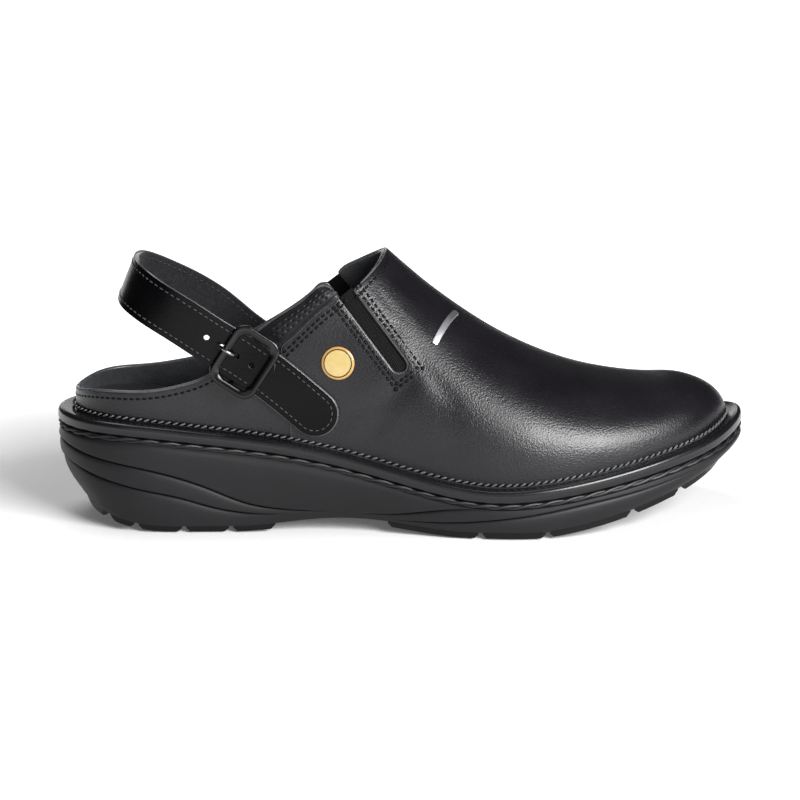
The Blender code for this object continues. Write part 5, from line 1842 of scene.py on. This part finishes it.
@dataclass
class Strapping:
    """Heel strap, anchor tab, buckle and prong."""

    finishes: Finishes
    path: StrapPath
    hole_diameter: float = 0.0025
    hole_pitch: float = 0.0073
    holes: int = 4
    buckle_place: tuple = (0.2745, 0.652)
    buckle_length: float = 0.0215
    buckle_bar: float = 0.0034
    buckle_thickness: float = 0.0024
    clearance: float = 0.0009
    corner_share: float = 1.6
    section_power: float = 0.7
    inner_drop: float = 0.25
    pin_diameter: float = 0.0018
    pin_bend: float = 0.86
    tip: float = 0.0024
    tip_taper: tuple = (0.95, 0.85, 0.6)
    prong_rings: int = 30
    prong_sides: int = 12
    steel_rings: int = 24
    stitch_inset: float = 0.0023
    anchor_inset: float = 0.0022
    anchor_start: float = 0.009

    def __post_init__(self) -> None:
        """Finds the buckle's middle on the strap."""
        flat = self.path.middle[:, (0, 2)]
        gap = np.hypot(*(flat - in_view(self.buckle_place)).T)
        self.buckle_step = int(np.argmin(np.where(self.path.middle[:, 1] < 0.0, gap, np.inf)))
        self.prong_hole = self.buckle_length / 2.0 - self.buckle_bar - self.hole_diameter * 1.35

    def build(self) -> None:
        """Builds the strap and all that holds it."""
        self._strap()
        self._anchor()
        self._buckle()
        self._prong()

    def _strap(self) -> None:
        """Band cut from a flat sheet: rounded ends and punched holes, then laid along the path."""
        end = self.path.lengths[-1]
        half = SIZE.strap_width / 2.0
        first = self.path.lengths[self.buckle_step] + self.prong_hole - self.hole_pitch
        holes = first + np.arange(self.holes) * self.hole_pitch

        def keep(spots: Array) -> Array:
            """Positive inside the strap's ends and outside its holes.

            Args:
                spots: rows of (length, distance across).

            Returns:
                Distance inside.
            """
            run, side = spots[:, 0], spots[:, 1]
            nearest = np.clip(run, half, end - half)
            tips = half * 1.02 - np.hypot(run - nearest, side)
            punched = np.min(np.hypot(run[:, None] - holes, side[:, None]), axis=1) - self.hole_diameter / 2.0
            return np.minimum(np.where(np.abs(run - nearest) > 0.0, tips, half), punched)

        sheet = Sheet.grid(np.arange(0.0, end, 0.9 * MM), np.linspace(-half, half, 29)).cut(keep)
        thick = SIZE.strap_thickness / 2.0
        strap = sheet.solid(
            "heel_strap_leather", self.path.place, -thick, thick,
            [self.finishes.strap_leather, self.finishes.suede, self.finishes.edge], bulge=0.3,
        )
        dress(strap, "leather", "heel_strap")
        rows = []
        for side in (-1.0, 1.0):
            run = np.arange(5.0 * MM, end - 5.0 * MM, STRAP_STITCH.pitch)
            spots = np.column_stack([run, np.full(len(run), side * (half - self.stitch_inset))])
            for face in (1.0, -1.0):
                places = self.path.place(spots, thick * face)
                rows.append((places, self.path.outward(spots) * face, STRAP_STITCH))
        dress(sewn("strap_stitching", rows, self.finishes.grey_thread, self.finishes.hole_shade), "leather")

    def _anchor(self) -> None:
        """Tab sewn to the outer quarter, with a round lower end."""
        line = smooth_line(in_view(ANCHOR_LINE), 300)
        lengths = travelled(line)
        radius = SIZE.strap_width / 2.0
        end = lengths[-1] - radius
        normals = side_normals(line)
        base = SIZE.lining + SIZE.front_piece + SIZE.gap * 0.3

        def place(spots: Array, offset: Array | float) -> Array:
            """Points at (length along, distance across) of the tab on the wall.

            Args:
                spots: rows of (length, distance across).
                offset: height over the last.

            Returns:
                Points in heel coordinates.
            """
            run = spots[..., 0]
            flat = columns_at(run, lengths, line) + columns_at(run, lengths, normals) * spots[..., 1:]
            return LAST.skin(LAST.spots(Side.LATERAL, flat, base), offset)

        def keep(spots: Array) -> Array:
            """Positive inside the tab's round end."""
            return radius - np.hypot(np.maximum(spots[:, 0] - end, 0.0), spots[:, 1]) + 1e-7

        start = self.pin_diameter / 2.0 + SIZE.gap
        runs, sides = np.linspace(start, lengths[-1] + MM, 50), np.linspace(-radius, radius, 24)
        sheet = Sheet.grid(runs, sides).cut(keep)
        tab = sheet.solid(
            "anchor_tab", place, base, base + SIZE.anchor_thickness,
            [self.finishes.strap_leather, self.finishes.strap_leather, self.finishes.edge], bulge=0.3,
        )
        dress(tab, "leather", "strap_anchor")
        inset = radius - self.anchor_inset
        bend = np.linspace(-math.pi / 2.0, math.pi / 2.0, 40)
        path = np.vstack([
            (self.anchor_start, -inset), np.column_stack([end + inset * np.cos(bend), inset * np.sin(bend)]),
            (self.anchor_start, inset),
        ])
        spots = resampled(path, STRAP_STITCH.pitch)
        top = place(spots, base + SIZE.anchor_thickness)
        row = (top, unit(top - place(spots, base)), STRAP_STITCH)
        dress(sewn("anchor_stitching", [row], self.finishes.grey_thread, self.finishes.hole_shade), "leather")

    def _axes(self) -> tuple[Array, Array, Array, Array]:
        """Centre of the buckle, direction to the toe, across and outwards."""
        step = self.buckle_step
        return self.path.middle[step], -self.path.along[step], self.path.width[step], self.path.out[step]

    def _buckle(self) -> None:
        """Frame: a rounded section carried round a rounded square over the strap."""
        centre, along, across, out = self._axes()
        half_long = self.buckle_length / 2.0
        half_wide = SIZE.strap_width / 2.0 + SIZE.gap * 3.0 + self.buckle_bar
        corner = self.buckle_bar * self.corner_share
        angle = np.linspace(0.0, 2.0 * math.pi, 120, endpoint=False)
        reach = np.column_stack([
            np.sign(np.cos(angle)) * (half_long - corner) + np.cos(angle) * corner,
            np.sign(np.sin(angle)) * (half_wide - corner) + np.sin(angle) * corner,
        ])
        inward = 1.0 - self.buckle_bar / np.array([half_long, half_wide])
        floor = SIZE.strap_thickness / 2.0 + self.clearance
        section = np.linspace(0.0, 2.0 * math.pi, 16, endpoint=False)
        cosine, sine = np.cos(section), np.sin(section)
        share = 0.5 - 0.5 * np.sign(cosine) * np.abs(cosine) ** self.section_power
        lift = 0.5 + 0.5 * np.sign(sine) * np.abs(sine) ** self.section_power
        # The inner edge lies lower than the outer one, as on a pressed frame
        lift = lift * (1.0 - self.inner_drop * share)
        flat = reach[None] * (1.0 + (inward - 1.0) * share[:, None, None])
        height = floor + self.buckle_thickness * lift
        points = centre + flat[..., :1] * along + flat[..., 1:] * across + height[:, None, None] * out
        ring, faces = ring_stack(points, closed=True)
        parts = [(ring, [face[::-1] for face in faces])]
        drop = SIZE.strap_thickness / 2.0 + SIZE.gap + self.pin_diameter / 2.0
        reach_pin = half_wide - self.buckle_bar / 2.0
        # The pin runs under the strap and bends up into the frame's sides at its ends
        run = np.linspace(-1.0, 1.0, 41)[:, None]
        rise = np.maximum(np.abs(run) - self.pin_bend, 0.0) / (1.0 - self.pin_bend)
        height = rise * (drop + floor + self.buckle_thickness * 0.4) - drop
        pin = centre + run * reach_pin * across + height * out
        parts.append(tube(pin, self.pin_diameter / 2.0, sides=10, up=along))
        frame = mesh_piece("buckle_ring", *joined(parts), [self.finishes.lacquer], sharp_deg=80.0)
        dress(frame, "buckle", "buckle_frame")

    def _prong(self) -> None:
        """Round prong that comes up through the strap's hole and lies over the rear bar."""
        centre, along, across, out = self._axes()
        rear = -self.buckle_length / 2.0
        low = -SIZE.strap_thickness / 2.0 - SIZE.gap - self.pin_diameter * 0.35
        top = SIZE.strap_thickness / 2.0 + self.clearance + SIZE.gap + self.buckle_thickness
        top += self.pin_diameter * 0.3
        hole = -self.prong_hole
        route = smooth_line([
            (-self.pin_diameter / 2.0 - SIZE.gap * 2.4, low), (hole + 0.9 * MM, low),
            (hole + 0.2 * MM, low * 0.6), (hole, 0.0), (hole - 0.3 * MM, -low * 0.9),
            (rear + self.buckle_bar, top), (rear + self.buckle_bar * 0.1, top - 0.2 * MM),
            (rear - self.tip, top - 1.2 * MM),
        ], self.prong_rings)
        path = centre + route[:, :1] * along + route[:, 1:] * out
        radius = np.full(self.prong_rings, self.pin_diameter * 0.42)
        radius[-len(self.tip_taper):] *= self.tip_taper
        points, faces = tube(path, radius, self.prong_sides, up=across)
        # Bare steel up to the last rings, and lacquer on the tip
        which = np.arange(len(faces)) // self.prong_sides < self.steel_rings
        finishes = [self.finishes.lacquer, self.finishes.steel]
        dress(mesh_piece("buckle_tongue", points, faces, finishes, which), "buckle", "buckle_prong")


# Badge and bar


@dataclass
class Trim:
    """Plain badge with a thin ring, and the plain metal bar."""

    finishes: Finishes
    badge_place: tuple = (0.405, 0.636)
    badge_radius: float = 0.0068
    badge_thickness: float = 0.0012
    corners: int = 64
    ring_place: float = 0.83
    ring_lift: float = 0.90
    ring_half: tuple = (0.00026, 0.00012)
    bar_line: tuple = ((0.541, 0.267), (0.574, 0.425))
    bar_width: float = 0.0028
    bar_thickness: float = 0.0009

    def build(self) -> None:
        """Builds both pieces of trim."""
        self._badge()
        self._bar()

    def _disc(self, radii: Array, lifts: Array, base: float, closed: bool) -> tuple[Array, list]:
        """Rings of a disc on the wall, given as radius and lift; closed joins the last ring to the first.

        Args:
            radii: radius of each ring.
            lifts: height of each ring.
            base: height of the skin under it.
            closed: whether it is a closed ring.

        Returns:
            Points and faces.
        """
        place = in_view(self.badge_place)
        angle = np.linspace(0.0, 2.0 * math.pi, self.corners, endpoint=False)
        circle = np.column_stack([np.cos(angle), np.sin(angle)])
        flat = place + circle[None] * radii[:, None, None]
        spots = LAST.spots(Side.LATERAL, flat, SIZE.lining)
        points = LAST.skin(spots, np.broadcast_to(base + lifts[:, None], spots.shape[:2]))
        return ring_stack(points, closed)

    def _badge(self) -> None:
        """Domed enamel disc, and a thin raised ring near its edge."""
        base = SIZE.lining + SIZE.front_piece + SIZE.gap * 0.3
        share, lift = BADGE_PROFILE.T
        points, faces = self._disc(share * self.badge_radius, lift * self.badge_thickness, base, False)
        which = np.zeros(len(faces))
        which[:(int(np.flatnonzero(share >= RIM_SHARE).max()) + 1) * self.corners] = 1
        finishes = [self.finishes.enamel, self.finishes.enamel_rim]
        dress(mesh_piece("badge_disc", points, faces, finishes, which), "badge", "badge")
        turn = np.linspace(0.0, 2.0 * math.pi, 8, endpoint=False)
        radii = self.badge_radius * self.ring_place + self.ring_half[0] * np.cos(turn)
        lifts = self.badge_thickness * self.ring_lift + self.ring_half[1] * np.sin(turn)
        ring = mesh_piece("badge_ring", *self._disc(radii, lifts, base, True), [self.finishes.ink])
        dress(ring, "badge")

    def _bar(self) -> None:
        """Bar with a domed section and eased ends."""
        steps = 25
        share = np.linspace(0.0, 1.0, steps)[:, None]
        line = np.array(self.bar_line)
        places = line[0] + (line[1] - line[0]) * share
        spots = np.column_stack([turn_of(places[:, 0]), places[:, 1] * math.pi])
        middle = LAST.skin(spots, SIZE.lining + SIZE.front_piece + SIZE.gap * 0.3)
        out = LAST.normal(spots[:, 0], spots[:, 1])
        across = unit(np.cross(out, np.gradient(middle, axis=0)))
        swell = np.sin(math.pi * np.linspace(0.03, 0.97, steps))
        half = self.bar_width / 2.0 * np.clip(swell * 6.0, 0.0, 1.0) ** 0.5
        rings = np.stack([
            middle + across * (half * side)[:, None] + out * self.bar_thickness * lift
            for side, lift in BAR_SECTION
        ], axis=1)
        bar = mesh_piece("silver_bar", *ring_stack(rings, closed=False), [self.finishes.silver])
        dress(bar, "silver", "vamp_bar")


# Stage


@dataclass(frozen=True)
class Softbox:
    """One area light on a sphere round the shoe.

    Attributes:
        name: the light's name.
        azimuth_deg: 0 in front of the outer side, growing to the toe.
        elevation_deg: height over the floor.
        distance: metres from the shoe's middle.
        size: width and height in metres.
        radiance: brightness of its face.
    """

    name: str
    azimuth_deg: float
    elevation_deg: float
    distance: float
    size: tuple
    radiance: float

    def build(self) -> None:
        """Adds the light: its power is pi times its radiance times its area."""
        azimuth, elevation = math.radians(self.azimuth_deg), math.radians(self.elevation_deg)
        level = math.cos(elevation)
        away = Vector((math.sin(azimuth) * level, -math.cos(azimuth) * level, math.sin(elevation)))
        lamp = bpy.data.lights.new(self.name, "AREA")
        lamp.shape = "RECTANGLE"
        lamp.size, lamp.size_y = self.size
        lamp.energy = math.pi * self.radiance * self.size[0] * self.size[1]
        made = bpy.data.objects.new(self.name, lamp)
        made.location = away * self.distance + Vector((0.0, 0.0, 0.05))
        made.rotation_euler = away.to_track_quat("Z", "Y").to_euler()
        bpy.context.scene.collection.objects.link(made)


@dataclass
class Studio:
    """Pale floor, soft lights and the photograph's camera."""

    elevation_deg: float = 13.0
    yaw_deg: float = 2.0
    distance: float = 1.2
    lens_mm: float = 127.0
    aim: tuple = (0.0, 0.0, 0.050)
    shift_right: float = -0.001165
    shift_up: float = -0.00183
    paper_glow: tuple = (0.10, 1.0)
    glow_reach: tuple = (0.15, 0.40)
    paper_half: float = 9.0
    paper_drop: float = 0.0001
    air: float = 0.04

    def build(self) -> None:
        """Builds the whole stage."""
        self._camera()
        self._floor()
        for light in (
            Softbox("key_softbox", 34.0, 24.0, 1.15, (0.70, 0.50), 30.0),
            Softbox("front_fill", -14.0, 14.0, 1.30, (0.50, 0.50), 1.0),
            Softbox("overhead_box", -130.0, 74.0, 1.20, (0.70, 0.70), 4.2),
            Softbox("rear_strip", 188.0, 11.0, 1.30, (0.80, 0.16), 2.4),
        ):
            light.build()
        world = bpy.data.worlds.new("studio_air")
        world.use_nodes = True
        background = world.node_tree.nodes["Background"]
        background.inputs["Color"].default_value = linear("#ffffff")
        background.inputs["Strength"].default_value = self.air
        bpy.context.scene.world = world
        bpy.context.scene.view_settings.view_transform = "Standard"

    def _camera(self) -> None:
        """Camera at the photograph's angle, aimed beside the shoe's middle so that the frame matches."""
        rise, yaw = math.radians(self.elevation_deg), math.radians(self.yaw_deg)
        back = Vector((-math.sin(yaw) * math.cos(rise), -math.cos(yaw) * math.cos(rise), math.sin(rise)))
        right = Vector((math.cos(yaw), -math.sin(yaw), 0.0))
        up = back.cross(right)
        aim = Vector(self.aim) + right * self.shift_right + up * self.shift_up
        lens = bpy.data.cameras.new("photo_camera")
        lens.lens = self.lens_mm
        lens.sensor_width = 36.0
        lens.clip_start = 0.05
        camera = bpy.data.objects.new("photo_camera", lens)
        turned = Matrix((right, up, back)).transposed().to_4x4()
        camera.matrix_world = Matrix.Translation(aim + back * self.distance) @ turned
        bpy.context.scene.collection.objects.link(camera)
        bpy.context.scene.camera = camera

    def _floor(self) -> None:
        """Flat sheet of paper that fills the view; it glows evenly far from the shoe, like a lit sweep."""
        side = np.linspace(-self.paper_half, self.paper_half, 19)
        points = np.stack(np.broadcast_arrays(side[None], side[:, None], -self.paper_drop), axis=-1)
        paper = Finish(
            "matte paper backdrop", "#dedede", "#e4e4e4", 0.9, 0.02, 3.0, 0.001, tone_mm=300.0
        ).material()
        tree = paper.node_tree
        shader = tree.nodes["Principled BSDF"]
        where = add_node(tree, "TexCoord").outputs["Object"]
        away = add_node(tree, "VectorMath", {0: where}, operation="LENGTH").outputs["Value"]
        glow = add_node(tree, "MapRange", {
            "Value": away, "From Min": self.glow_reach[0], "From Max": self.glow_reach[1],
            "To Min": self.paper_glow[0], "To Max": self.paper_glow[1],
        }, interpolation_type="SMOOTHSTEP")
        tree.links.new(glow.outputs["Result"], shader.inputs["Emission Strength"])
        shader.inputs["Emission Color"].default_value = linear("#ffffff")
        floor = mesh_piece(
            "backdrop", points.reshape(-1, 3), grid_quads(len(side), len(side))[:, ::-1], [paper],
            centred=True,
        )


def main() -> None:
    """Builds the clog's pieces in order and its stage."""
    logging.basicConfig(level=logging.INFO, format="%(name)s: %(message)s")
    finishes = Finishes()
    Sole(finishes).build()
    Treads(finishes).build()
    Insole(finishes).build()
    Upper(finishes).build()
    Strapping(finishes, StrapPath()).build()
    Trim(finishes).build()
    Studio().build()


if __name__ == "__main__":
    main()
